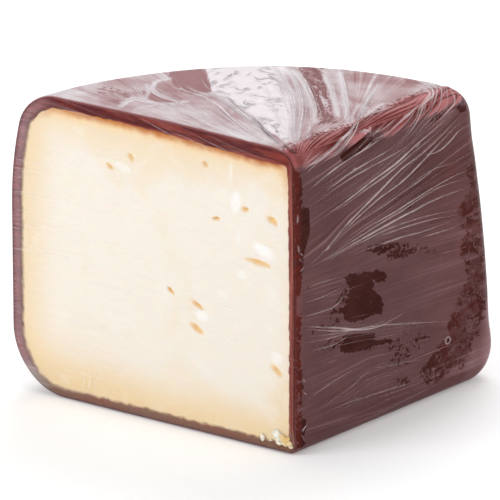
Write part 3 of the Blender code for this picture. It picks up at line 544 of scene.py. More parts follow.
# The camera, in degrees, millimetres and pixels, and the photo's frame.
AZIMUTH = 37.742
ELEVATION = 17.718
TARGET = (-50.0, 50.0, 50.0)  # from the apex foot, along X, Y and Z
DISTANCE = 3288.4
FOCAL_PIXELS = 10325.0
FRAME_PIXELS = 500
SENSOR = 36.0
AIM_RIGHT = 18.584
AIM_UP = 13.466
CLIP_END = 20.0

# Light, in metres and watts: each soft box's place, size and power.
SOFTBOXES = {
    "front": ((-0.45, -1.1, 0.75), (0.8, 0.6), 6.5),
    "behind": ((-0.35, 0.75, 0.95), (0.7, 0.7), 8.0),
    "right": ((1.1, -0.1, 0.7), (0.25, 0.5), 3.0),
}
LIGHTS_AIM = (0.0, 0.0, 0.05)
WORLD_STRENGTH = 0.5
WHITE = (1.0, 1.0, 1.0, 1.0)
FLOOR_SIZE = 4.0
FLOOR_DROP = 0.0003
FLOOR_GLOW = 0.16


def mix(first, second, share):
    """The value that lies the given share of the way from first to second."""
    return first + (second - first) * share


def smooth_step(start, end, value):
    """0 up to start, 1 from end on, and a smooth climb between them."""
    share = np.clip((value - start) / (end - start), 0.0, 1.0)
    return share * share * (3.0 - 2.0 * share)


def read_off(value, table):
    """The value that a flat table of pairs gives, with straight lines between its pairs."""
    return np.interp(value, *np.array(pairs_of(table)).T)


def rounded(first, second, radius):
    """The lesser of two depths, with the corner where they meet rounded to the radius."""
    corner = np.hypot(np.maximum(radius - first, 0.0), np.maximum(radius - second, 0.0))
    return np.maximum(radius, np.minimum(first, second)) - corner


def unevenness(points):
    """The slow waves of a hand-made surface, flat at the base."""
    total = np.zeros(points.shape[:-1])
    for kx, ky, kz, phase in WAVES:
        total += np.sin(points @ np.array((kx, ky, kz)) + phase)
    return WAVE_HEIGHT * total / len(WAVES) * smooth_step(0.0, FLAT_BASE, points[..., 2])


def edge_relief(points):
    """How far the rounded cut edge draws back, just behind the cut face."""
    across, along, up = np.moveaxis(points, -1, 0)
    at_apex = smooth_step(12.0, 4.0, across) * smooth_step(0.0, 10.0, up)
    radius = mix(CUT_EDGE_ROUND, APEX_EDGE_ROUND, at_apex)
    gone = np.clip(radius - along, 0.0, radius)
    return radius - np.sqrt(radius**2 - gone**2)


def depth_inside(points):
    """How deep each point lies in the whole quarter, were it not cut at along = 0."""
    across, along, up = np.moveaxis(points, -1, 0)
    turn = np.clip(np.arctan2(along, across) / (math.pi / 2), 0.0, 1.0)
    lean_start = mix(LEAN_START_CUT, LEAN_START_WAXED, turn)
    leaning = np.clip((up - lean_start) / (HEIGHT - lean_start), 0.0, None) ** 2
    radius = mix(CUT_RADIUS, WAXED_RADIUS, turn) + SIDE_SWELL * np.sin(math.pi * turn)
    radius = radius - mix(LEAN_CUT, LEAN_WAXED, turn) * leaning
    depth = rounded(radius - np.hypot(across, along), HEIGHT - up, mix(TOP_ROUND_CUT, TOP_ROUND_WAXED, turn))
    depth = rounded(depth, up, mix(BASE_ROUND_CUT, BASE_ROUND_WAXED, turn))
    ridge = mix(RIDGE_ROUND_APEX, RIDGE_ROUND_RIM, np.clip(along / WAXED_RADIUS, 0.0, 1.0))
    edge = mix(CORNER_ROUND, ridge, smooth_step(0.8 * HEIGHT, HEIGHT, up))
    edge = mix(edge, FOOT_ROUND, smooth_step(0.2 * HEIGHT, 0.0, up))
    return rounded(depth, across, edge) + unevenness(points) - edge_relief(points)


def cast(origin, directions, inset):
    """Where rays from inside the piece come within the inset of its surface."""
    near = np.zeros(directions.shape[:-1])
    far = np.full(directions.shape[:-1], RAY_LENGTH)
    for _ in range(RAY_STEPS):
        middle = (near + far) / 2
        inside = depth_inside(origin + directions * middle[..., None]) > inset
        near = np.where(inside, middle, near)
        far = np.where(inside, far, middle)
    return origin + directions * near[..., None]


def outward(points):
    """The surface's outward direction at points on or near it."""
    steps = np.eye(3) * GRADIENT_STEP
    slope = np.stack([depth_inside(points - s) - depth_inside(points + s) for s in steps], axis=-1)
    return slope / np.linalg.norm(slope, axis=-1, keepdims=True)


def settled(points):
    """Points near the surface, moved onto it, and off the part that the cut takes away."""
    for _ in range(4):
        points = points + outward(points) * depth_inside(points)[..., None]
    return points


def arc_shares(line):
    """How far along its own length each point of a line lies, from 0 to 1."""
    steps = np.linalg.norm(np.diff(line, axis=0), axis=-1)
    length = np.concatenate([np.zeros((1,) + steps.shape[1:]), np.cumsum(steps, axis=0)])
    return length / length[-1]


def directions_of(turns, rises):
    """Unit directions from the core: turns round the cut face, and rises from it to the back."""
    turns, rises = np.broadcast_arrays(turns, rises)
    return np.stack([np.cos(turns) * np.cos(rises), np.sin(rises), np.sin(turns) * np.cos(rises)], axis=-1)


def meridian_table(core, inset, meridians, rings):
    """Points of the skin by [ring, meridian], evenly spaced round the cut edge and back from it."""
    fine = np.linspace(0.0, 2 * math.pi, ROUND_PROBES * meridians + 1)
    rim_shares = arc_shares(cast(core, directions_of(fine, np.zeros_like(fine)), inset))
    turns = np.interp(np.arange(meridians) / meridians, rim_shares, fine)
    rises = np.linspace(0.0, math.pi / 2, RISE_PROBES)
    lines = cast(core, directions_of(turns[None, :], rises[:, None]), inset)
    shares = arc_shares(lines)
    steps = np.linspace(0.0, 1.0, rings + 1)
    wanted = (steps + RIM_CROWDING * steps**2) / (1 + RIM_CROWDING)
    table = np.empty((rings + 1, meridians, 3))
    for m in range(meridians):
        for axis in range(3):
            table[:, m, axis] = np.interp(wanted, shares[:, m], lines[:, m, axis])
    return table


def shell(core, inset, meridians, rings, cut_rings):
    """The piece's surface at an inset: its points by ring, from the cut face's middle to the back."""
    table = meridian_table(core, inset, meridians, rings)
    shares = np.append(np.arange(1, cut_rings - 1) / (cut_rings - 1), RIM_RING)[:, None, None]
    face = core + (table[0] - core) * shares
    points = np.vstack([core[None], face.reshape(-1, 3), table[:-1].reshape(-1, 3), table[-1, :1]])
    on_face = np.zeros(len(points), bool)
    on_face[: 1 + (cut_rings - 1) * meridians] = True
    return points, on_face, table[0]


def shell_faces(points, meridians):
    """Faces over a shell's points, all looking outwards."""
    rings = (len(points) - 2) // meridians
    first = 1 + np.arange(rings)[:, None] * meridians
    here = np.arange(meridians)
    after = (here + 1) % meridians
    low, high = first[:-1], first[1:]
    quads = np.stack([low + here, low + after, high + after, high + here], axis=-1).reshape(-1, 4)
    start = np.stack([np.zeros(meridians, int), 1 + after, 1 + here], axis=-1)
    last = first[-1] + np.stack([here, after], axis=-1)
    end = np.column_stack([last, np.full(meridians, len(points) - 1)])
    middle = points.mean(axis=0)
    a, b, c = (points[quads[:, i]] - middle for i in range(3))
    # The mesh mirrors the across axis, so a face that looks inwards here looks outwards there.
    if np.einsum("ij,ij->i", a, np.cross(b, c)).sum() > 0:
        quads, start, end = quads[:, ::-1], start[:, ::-1], end[:, ::-1]
    return quads.tolist() + start.tolist() + end.tolist()


def placed(points):
    """Points in the frame's metres."""
    across, along, up = np.moveaxis(points, -1, 0)
    return np.stack([APEX_X - across, APEX_Y + along, up], axis=-1) * MM


def make_object(name, points, faces):
    """A smooth-shaded mesh object in the frame's metres."""
    mesh = bpy.data.meshes.new(name)
    mesh.from_pydata(placed(points).tolist(), [], faces)
    mesh.shade_smooth()
    piece = bpy.data.objects.new(name, mesh)
    bpy.context.scene.collection.objects.link(piece)
    return piece


def add_layers(piece, **layers):
    """Each layer holds one number, or one vector, for each vertex."""
    for name, values in layers.items():
        kind, key = ("FLOAT", "value") if values.ndim == 1 else ("FLOAT_VECTOR", "vector")
        layer = piece.data.attributes.new(name, kind, "POINT")
        layer.data.foreach_set(key, values.astype(np.float32).ravel())


def smooth_line(guides):
    """A smooth line through guide points, by Catmull-Rom spans."""
    ends = np.vstack([2 * guides[0] - guides[1], guides, 2 * guides[-1] - guides[-2]])
    share = np.linspace(0.0, 1.0, SPAN_SAMPLES, endpoint=False)[:, None]
    spans = []
    for a, b, c, d in zip(ends, ends[1:], ends[2:], ends[3:]):
        spans.append(
            b
            + 0.5 * share * (c - a)
            + share**2 * (a - 2.5 * b + 2 * c - 0.5 * d)
            + 0.5 * share**3 * (3 * (b - c) + d - a)
        )
    return np.vstack(spans + [guides[-1:]])


def fold_lines():
    """Every fold as (its line on the surface, its height)."""
    random = np.random.default_rng(FOLD_SEED)
    folds = []
    for first, last, count, height in FOLD_FAMILIES:
        first, last = np.array(first), np.array(last)
        gaps = np.linalg.norm(last - first, axis=1, keepdims=True) / (count - 1)
        for share in np.linspace(0.0, 1.0, count):
            guides = mix(first, last, share) + FOLD_JITTER * gaps * random.normal(size=first.shape)
            line = settled(smooth_line(guides))
            folds.append((line, height * random.uniform(0.6, 1.0)))
    return folds


def near_line(points, line, margin):
    """Which points lie in the line's box, with a margin round it."""
    return ((points > line.min(axis=0) - margin) & (points < line.max(axis=0) + margin)).all(axis=1)


def distance_to_line(points, line):
    """Each point's distance from a line, and how far along the line it is nearest, from 0 to 1."""
    nearest = np.full(len(points), np.inf)
    place = np.zeros(len(points))
    for i, (start, end) in enumerate(zip(line, line[1:])):
        span = end - start
        share = np.clip((points - start) @ span / (span @ span), 0.0, 1.0)
        distance = np.linalg.norm(points - start - share[:, None] * span, axis=1)
        closer = distance < nearest
        nearest[closer] = distance[closer]
        place[closer] = (i + share[closer]) / (len(line) - 1)
    return nearest, place


def triangle_wave(value):
    """Straight ups and downs between 0 and 1, once in each unit."""
    return np.abs((value % 1.0) * 2.0 - 1.0)


def rim_share(points):
    """How far out from the apex the points lie: 1 on the wheel's own side."""
    return np.hypot(points[:, 0] / CUT_RADIUS, points[:, 1] / WAXED_RADIUS)


def crumple(points):
    """Sharp facets of crumpled film on the top face, about 1 mm high."""
    total = np.zeros(len(points))
    for angle, length, height in CRUMPLE_WAVES:
        across = points[:, 0] * math.cos(math.radians(angle)) + points[:, 1] * math.sin(math.radians(angle))
        bend = 0.9 * np.sin(points[:, 0] / 7.0 + angle) + 0.7 * np.sin(points[:, 1] / 5.0 - angle)
        total += height * triangle_wave((across + bend) / length)
    return total * smooth_step(*CRUMPLE_FADE, rim_share(points))


def polygon_depth(points, outline):
    """How deep 2-D points lie inside an outline, negative outside."""
    outline = np.array(pairs_of(outline), float)
    nearest = np.full(len(points), np.inf)
    inside = np.zeros(len(points), bool)
    for start, end in zip(outline, np.roll(outline, -1, axis=0)):
        span, off = end - start, points - start
        share = np.clip(off @ span / (span @ span), 0.0, 1.0)
        nearest = np.minimum(nearest, np.linalg.norm(off - share[:, None] * span, axis=1))
        spans_it = (start[1] > points[:, 1]) != (end[1] > points[:, 1])
        if span[1] != 0:
            inside ^= spans_it & (off[:, 0] < span[0] * off[:, 1] / span[1])
    return np.where(inside, nearest, -nearest)


def face_place(points, face):
    """Points as the two coordinates that a face's tables are written in."""
    across, along, up = points.T
    if face == "waxed":
        return np.column_stack([along, up])
    if face in ("top", "base"):
        return np.column_stack([across, along])
    if face == "cut":
        return np.column_stack([across, up])
    return np.column_stack([np.arctan2(along, across) * CUT_RADIUS, up])


def face_weights(points, normals):
    """For each face, how squarely each point's surface looks its way."""
    radial = points[:, :2] / np.linalg.norm(points[:, :2], axis=1, keepdims=True).clip(1e-6)
    return {
        "waxed": -normals[:, 0],
        "top": normals[:, 2],
        "cut": -normals[:, 1],
        "side": (normals[:, :2] * radial).sum(axis=1),
        "base": -normals[:, 2],
    }


def flow_of(points, owner):
    """Each point's place across the streaks and along them, with its face's number, and how calm they are."""
    flow = np.zeros((len(points), 3))
    calm = np.ones(len(points))
    for number, face in enumerate(FACES):
        mine = owner == number
        place = face_place(points[mine], face)
        run, rise = place.T
        if face in ("top", "base"):
            run, rise = np.hypot(*place.T), np.degrees(np.arctan2(place[:, 1], place[:, 0]))
        lines = FLOW_LINES[face]
        heights = [read_off(run, line) for _, line in lines]
        value = np.full(mine.sum(), float(lines[0][0]))
        steepest = np.ones(mine.sum())
        for (low_value, _), (high_value, _), low, high in zip(lines, lines[1:], heights, heights[1:]):
            gap = np.maximum(high - low, LEAST_GAP)
            share = (rise - low) / gap
            value += (high_value - low_value) * np.clip(share, 0.0, 1.0)
            slope = (high_value - low_value) / gap
            steepest = np.where((share >= 0.0) & (share <= 1.0), np.maximum(slope, 1.0), steepest)
        flow[mine] = np.column_stack([value, run, np.full(mine.sum(), FLOW_SHIFT * number)])
        calm[mine] = smooth_step(3.5, 1.3, steepest)
    return flow, calm


def patches_on(points, table, weights):
    """The strongest patch of a table at each point."""
    field = np.zeros(len(points))
    for face, level, softness, outline in table:
        near = weights[face] > 0.4
        depth = polygon_depth(face_place(points[near], face), outline)
        level = level * smooth_step(0.4, 0.65, weights[face][near])
        field[near] = np.maximum(field[near], level * smooth_step(-softness, softness * 0.6, depth))
    return field


def ridge_field(points, weights):
    """1 on the tight ridge between the top and the waxed face."""
    across, along, up = points.T
    on_top = smooth_step(4.6, -3.0, across - read_off(along, RIDGE_TOP))
    on_waxed = smooth_step(-3.6, 3.6, up - read_off(along, RIDGE_WAXED))
    facing = smooth_step(0.2, 0.5, np.maximum(weights["top"], weights["waxed"]))
    return np.where(weights["top"] > weights["waxed"], on_top, on_waxed) * facing


def band_field(points):
    """How much each point lies on the pale band of a drawn fold."""
    field = np.zeros(len(points))
    for guides, _, _, *band in DRAWN_FOLDS:
        if not band:
            continue
        first, last, level = band
        line = on_surface(resampled(smooth_line(np.array(guides, float)), BAND_STEP))[0]
        near = near_line(points, line, 2 * max(first, last))
        distance, place = distance_to_line(points[near], line)
        half = mix(first, last, place)
        ends = smooth_step(0.0, 0.12, place) * smooth_step(1.0, 0.9, place)
        field[near] = np.maximum(field[near], level * ends * smooth_step(1.3 * half, 0.6 * half, distance))
    return field


def rim_distance(points, rim):
    """How far points of the cut face lie from its rim."""
    flat = points[:, None, (0, 2)] - rim[None, ::2, (0, 2)]
    return np.sqrt((flat**2).sum(axis=-1).min(axis=1))


def rind_width(points):
    """Width of the dark rind on the cut face, by which edge is nearest."""
    across, _, up = points.T
    gaps = np.stack([HEIGHT - up, CUT_RADIUS - across, across, up])
    weights = 1.0 / np.maximum(gaps, 2.0) ** 4
    widths = np.stack([read_off(across, RIND_TOP)] + [np.full(len(across), w) for w in RIND_OTHERS])
    return (weights * widths).sum(axis=0) / weights.sum(axis=0)


def ellipse_reach(points, across, up, length, breadth, tilt):
    """How far out in a tilted ellipse on the cut face each point lies: 1 on its edge."""
    angle = math.radians(tilt)
    aside, above = points[:, 0] - across, points[:, 2] - up
    lengthwise = -aside * math.cos(angle) + above * math.sin(angle)
    crosswise = aside * math.sin(angle) + above * math.cos(angle)
    return np.hypot(lengthwise / (length / 2), crosswise / (breadth / 2))


def film_relief(points, folds, weights):
    """How far the film's folds and crumples stand out from the skin."""
    relief = np.zeros(len(points))
    share = mix(FOLD_SHARE[1], FOLD_SHARE[0], smooth_step(0.3, 0.9, weights["top"]))
    for line, height in folds:
        near = near_line(points, line, 4 * FOLD_HALF_WIDTH)
        distance, place = distance_to_line(points[near], line)
        taper = np.sin(math.pi * np.clip(place, 0.02, 0.98)) ** 0.5
        ridge = height * taper * np.exp(-((distance / FOLD_HALF_WIDTH) ** 2)) * share[near]
        relief[near] = np.maximum(relief[near], ridge)
    return relief * smooth_step(0.0, FLAT_BASE, points[:, 2]) * smooth_step(0.0, 3.0, points[:, 1])


def crumpled(points, lift, weights):
    """The film's lift, with the bunch's crumples where they stand out further."""
    white = patches_on(points, WHITE_PATCHES[:1], weights) * smooth_step(0.5, 0.9, weights["top"])
    return np.maximum(lift, lift * 0.5 + crumple(points) * white)


def crumb_bulge(points):
    """How far the film stands out over the crumbs."""
    bulge = np.zeros(len(points))
    for across, up, wide, tall, _ in CRUMBS:
        aside, above = points[:, 0] - across, points[:, 2] - up
        reach = np.hypot(aside / (wide + CRUMB_MARGIN), above / (tall + CRUMB_MARGIN))
        bulge = np.maximum(bulge, CRUMB_LIFT * smooth_step(1.25, 0.45, reach) * min(1.0, wide))
    return bulge


def film_skin(points, on_face, folds, rim):
    """The film's points, with the face weights of each."""
    normals = np.where(on_face[:, None], np.array((0.0, -1.0, 0.0)), outward(points))
    weights = face_weights(points, normals)
    lift = film_relief(points, folds, weights)
    lift = crumpled(points, lift, weights)
    distance = np.zeros(len(points))
    distance[on_face] = rim_distance(points[on_face], rim)
    lift[on_face] = crumb_bulge(points[on_face]) - FILM_SAG * smooth_step(0.6, 6.0, distance[on_face])
    return points + normals * lift[:, None], weights


# Shader building.


class Shade:
    """A material's node tree, built by short calls that each give back an output socket."""

    def __init__(self, name):
        self.material = bpy.data.materials.new(name)
        self.material.use_nodes = True
        self.tree = self.material.node_tree
        self.shader = self.tree.nodes["Principled BSDF"]

    def link(self, value, socket):
        if isinstance(value, bpy.types.NodeSocket):
            self.tree.links.new(value, socket)
        elif value is not None:
            socket.default_value = value

    def node(self, kind, values, output=0, **settings):
        made = self.tree.nodes.new(kind)
        for key, value in settings.items():
            setattr(made, key, value)
        for key, value in values.items():
            self.link(value, made.inputs[key])
        return made.outputs[output]

    def number(self, name):
        return self.node("ShaderNodeAttribute", {}, "Fac", attribute_name=name)

    def vector(self, name):
        return self.node("ShaderNodeAttribute", {}, "Vector", attribute_name=name)

    def position(self):
        return self.node("ShaderNodeTexCoord", {}, "Object")

    def math(self, operation, first, second=None, third=None):
        values = {0: first, 1: second, 2: third}
        return self.node("ShaderNodeMath", values, operation=operation)

    def times(self, first, second):
        return self.math("MULTIPLY", first, second)

    def times_plus(self, first, second, third):
        return self.math("MULTIPLY_ADD", first, second, third)

    def plus(self, first, second):
        return self.math("ADD", first, second)

    def centred(self, value):
        return self.math("SUBTRACT", value, 0.5)

    def step(self, value, start, end, low=0.0, high=1.0):
        values = {"Value": value, "From Min": start, "From Max": end, "To Min": low, "To Max": high}
        return self.node("ShaderNodeMapRange", values, interpolation_type="SMOOTHSTEP")

    def scaled(self, vector, by):
        return self.node("ShaderNodeVectorMath", {0: vector, 1: by}, operation="MULTIPLY")

    def noise(self, vector, scale, detail=2.0, roughness=0.5, distortion=0.0):
        """Noise of one scale, or of its own along each axis."""
        if isinstance(scale, tuple):
            vector, scale = self.scaled(vector, scale), 1.0
        values = {"Vector": vector, "Scale": scale, "Detail": detail, "Roughness": roughness}
        values["Distortion"] = distortion
        return self.node("ShaderNodeTexNoise", values, "Fac")

    def mix(self, share, first, second):
        """A number between two numbers."""
        values = {0: share, 2: first, 3: second}
        return self.node("ShaderNodeMix", values, 0, data_type="FLOAT")

    def blend(self, share, first, second):
        """A colour between two colours."""
        first, second = ((*c, 1.0) if isinstance(c, tuple) else c for c in (first, second))
        made = self.tree.nodes.new("ShaderNodeMix")
        made.data_type = "RGBA"
        for key, value in ((0, share), (6, first), (7, second)):
            self.link(value, made.inputs[key])
        return made.outputs[2]

    def bump(self, height, distance, strength):
        values = {"Height": height, "Distance": distance, "Strength": strength}
        return self.node("ShaderNodeBump", values, "Normal")

    def finish(self, **values):
        for key, value in values.items():
            if isinstance(value, tuple) and len(value) == 3 and key.endswith("Color"):
                value = (*value, 1.0)
            self.link(value, self.shader.inputs[key.replace("_", " ")])
        return self.material


WAX = (0.034, 0.0046, 0.0022)
WAX_LIGHT = (0.050, 0.0090, 0.0055)
WAX_WARM = (0.12, 0.019, 0.013)
# Lighter red of the painted highlight along the rounded cut edge, on the wax's side of it.
WAX_EDGE_HIGHLIGHT = (0.15, 0.024, 0.018)
# Haze colours: the film's milkiness, with painted reflection of the white room in it.
MAUVE_FILM = (0.80, 0.465, 0.51)
PLUM_FILM = (0.78, 0.405, 0.425)
WHITE_FILM = (0.86, 0.80, 0.825)
# The ridge's reds: the wax through the tight film, with a painted sheen of light along it.
RIDGE_SHEEN = (0.86, 0.33, 0.345)
RIDGE_DEEP = (0.52, 0.11, 0.105)
# Grey of the painted shade in the bunch's crumples.
CRINKLE_SHADE_FILM = (0.64, 0.60, 0.64)
CLEAR_FILM = (0.96, 0.93, 0.90)
# Pleat colours: the doubled film's own paleness with painted highlight along the crests, whitest on the top and
# over the paste.
PLEAT = (0.93, 0.74, 0.75)
PLEAT_TOP = (0.93, 0.86, 0.885)
PLEAT_CLEAR = (1.0, 0.985, 0.95)
# Dark of the painted shade in a crease.
CREASE_SHADE = (0.10, 0.042, 0.042)


def wax_colour(s):
    """Dark wax, a little lighter in slow swirls."""
    swirl = s.noise(s.position(), 55.0, 4.0, 0.6, 1.2)
    return s.blend(s.step(swirl, 0.35, 0.75), WAX, WAX_LIGHT)


def film_material():
    """Thin film: clear where it clings, hazy where it stands off, with painted reflection of the white room in
    the haze, streaked along the pull.

    Over the wax, which is all one dark colour, the wax that shows through is mixed in here; over the cut face
    the film is see-through.
    """
    s = Shade("cling_film")
    flow, place = s.vector("flow"), s.position()
    topness = s.number("topness")
    grain = s.centred(s.noise(place, 850.0, 3.0, 0.6))
    swirl = s.centred(s.noise(place, (300.0, 300.0, 480.0), 3.0, 0.6, 1.6))
    coarse = s.centred(s.noise(place, (170.0, 170.0, 260.0), 3.0, 0.5, 1.4))
    waves = s.centred(s.noise(place, (75.0, 75.0, 480.0), 2.0, 0.5, 1.1))
    swirl = s.mix(s.number("column"), s.mix(s.number("mottled"), swirl, coarse), waves)
    broken = s.centred(s.noise(flow, (0.5, 0.10, 1.0), 3.0, 0.6, 0.8))
    drawn = s.centred(s.noise(flow, (0.75, 0.020, 1.0), 3.0, 0.6, 0.3))
    ragged = s.times_plus(grain, 1.1, s.times(swirl, s.mix(topness, 1.5, 0.4)))
    ragged = s.times_plus(broken, s.mix(topness, 1.2, 1.6), ragged)
    ragged = s.math("MINIMUM", s.math("MAXIMUM", ragged, -0.42), 0.42)
    cling = s.step(s.plus(s.number("cling_field"), ragged), 0.41, 0.57)
    lifted = s.noise(place, (150.0, 150.0, 210.0), 3.0, 0.6, 1.2)
    cling = s.times(cling, s.step(lifted, 0.43, 0.58, s.mix(s.number("mottled"), 0.95, 0.56), 1.0))
    near_ridge = s.number("ridge")
    ridge = s.times_plus(drawn, s.mix(topness, 1.9, 0.8), near_ridge)
    ridge = s.step(s.times_plus(grain, s.mix(topness, 0.2, 0.9), ridge), 0.34, 0.62)
    clear = s.number("clear")
    cloud = s.noise(flow, (0.16, 0.035, 1.0), 3.0, 0.55)
    drift = s.noise(place, 55.0, 3.0, 0.6, 0.8)
    clouds = s.step(cloud, 0.28, 0.72, s.mix(topness, 0.86, 0.88), s.mix(topness, 1.13, 1.12))
    haze = s.times(s.number("haze"), clouds)
    haze = s.times(haze, s.mix(topness, 1.0, s.step(drift, 0.35, 0.65, 0.88, 1.10)))
    alpha = s.mix(cling, haze, s.number("cling"))
    fine = s.noise(flow, (1.25, 0.018, 1.0), 1.5, 0.5)
    hairs = s.noise(flow, (3.1, 0.014, 1.0), 1.0, 0.5)
    groups = s.noise(flow, (0.24, 0.018, 1.0), 2.0, 0.5)
    streaks = s.times(s.step(fine, 0.50, 0.78), s.step(groups, 0.38, 0.62))
    streaks = s.times_plus(s.step(hairs, 0.60, 0.80), s.step(groups, 0.40, 0.64, 0.0, 0.45), streaks)
    streaks = s.times(streaks, s.number("streak"))
    # Darker furrows beside the streaks: painted shade of the film's folds.
    furrow_shade = s.times(s.step(fine, 0.46, 0.26), s.number("streak"))
    pull = s.step(drawn, -0.12, 0.14)
    alpha = s.mix(ridge, alpha, s.mix(pull, 0.16, 0.62))
    zone = s.times(s.times(near_ridge, s.math("SUBTRACT", 1.0, near_ridge)), 4.0)
    granules = s.times(s.step(s.plus(grain, swirl), 0.0, 0.10), s.times(zone, topness))
    alpha = s.times(alpha, s.times_plus(granules, -0.62, 1.0))
    alpha = s.times(alpha, s.times_plus(furrow_shade, s.mix(topness, -0.6, -0.35), 1.0))
    alpha = s.times_plus(streaks, s.mix(cling, s.mix(topness, 0.32, 0.42), 0.10), alpha)
    # Thin grey lines in the white bunch: painted shade in its crumples, by lower alpha and a grey colour.
    crinkled = s.math("ABSOLUTE", s.centred(s.noise(place, 115.0, 3.0, 0.55, 1.2)))
    spots = s.noise(place, 90.0, 2.0, 0.5)
    crinkle_shade = s.times(s.step(crinkled, 0.075, 0.02), s.step(spots, 0.45, 0.57))
    white = s.step(s.times_plus(ragged, 0.35, s.number("white")), 0.40, 0.62)
    alpha = s.mix(white, alpha, s.math("MAXIMUM", alpha, s.mix(crinkle_shade, 0.93, 0.70)))
    band = s.times(s.number("band"), s.step(fine, 0.30, 0.60, 0.65, 1.15))
    alpha = s.mix(band, alpha, s.math("MAXIMUM", alpha, 0.90))
    tint = s.blend(topness, MAUVE_FILM, PLUM_FILM)
    colour = s.blend(s.step(alpha, s.mix(topness, 0.12, 0.30), s.mix(topness, 0.90, 0.84)), tint, WHITE_FILM)
    tight = s.times(ridge, s.step(s.plus(streaks, band), 0.35, 0.0))
    # On the ridge, the wax's red through the tight film, with a painted sheen of light.
    colour = s.blend(tight, colour, s.blend(pull, RIDGE_DEEP, RIDGE_SHEEN))
    colour = s.blend(clear, colour, CLEAR_FILM)
    # Painted crumple shade, grey, in the white bunch.
    colour = s.blend(s.times(white, crinkle_shade), colour, CRINKLE_SHADE_FILM)
    over_wax = s.step(s.number("skin"), 0.75, 1.0)
    wax = s.blend(s.times(s.number("warm"), s.step(swirl, -0.2, 0.2, 0.3, 1.0)), wax_colour(s), WAX_WARM)
    # Painted highlight along the rounded cut edge.
    wax = s.blend(s.number("cut_edge"), wax, WAX_EDGE_HIGHLIGHT)
    colour = s.blend(over_wax, colour, s.blend(alpha, wax, colour))
    height = s.plus(s.times(streaks, 0.7), s.times(cloud, 0.5))
    s.shader.inputs["Specular IOR Level"].default_value = 0.02
    return s.finish(
        Base_Color=colour,
        Roughness=s.step(groups, 0.3, 0.7, 0.20, 0.36),
        Alpha=s.mix(over_wax, alpha, 1.0),
        Normal=s.bump(height, 0.0005, 0.35),
    )


def pleat_material():
    """Film doubled over itself, paler than the film round it: partly its own whiteness, partly painted
    highlight along its crests.
    """
    s = Shade("film_pleats")
    wisps = s.noise(s.position(), 160.0, 2.0, 0.5)
    alpha = s.times(s.number("strength"), s.step(wisps, 0.30, 0.62, 0.6, 1.1))
    colour = s.blend(s.number("topness"), PLEAT, PLEAT_TOP)
    colour = s.blend(s.number("clear"), colour, PLEAT_CLEAR)
    # Pleats of negative strength take the dark of painted shade in a crease.
    colour = s.blend(s.number("dark"), colour, CREASE_SHADE)
    s.shader.inputs["Specular IOR Level"].default_value = 0.15
    return s.finish(Base_Color=colour, Roughness=0.3, Alpha=alpha)


PASTE = (0.89, 0.825, 0.735)
PASTE_EDGE = (0.87, 0.695, 0.47)
PASTE_FOOT = (0.86, 0.64, 0.35)
PASTE_TAN = (0.88, 0.73, 0.52)
PASTE_PALE = (0.95, 0.93, 0.90)
PASTE_DEEP = (0.93, 0.58, 0.16)
SMOKED_LINE = (0.53, 0.175, 0.042)
SMOKED_HALO = (0.90, 0.60, 0.29)
RIND = (0.235, 0.040, 0.029)
RIND_DARK = (0.095, 0.012, 0.012)
# Red of the painted highlight on the cut face's rounded rim, and of the line inside the rust strip.
RIND_LIP_AND_HIGHLIGHT = (0.25, 0.046, 0.030)
RIND_RUST = (0.33, 0.100, 0.070)
RIND_BROWN = (0.215, 0.096, 0.058)
RIND_PLUM = (0.17, 0.045, 0.040)
CRUMB_WHITE = (0.98, 0.93, 0.82)
CRUMB_ORANGE = (0.92, 0.50, 0.09)


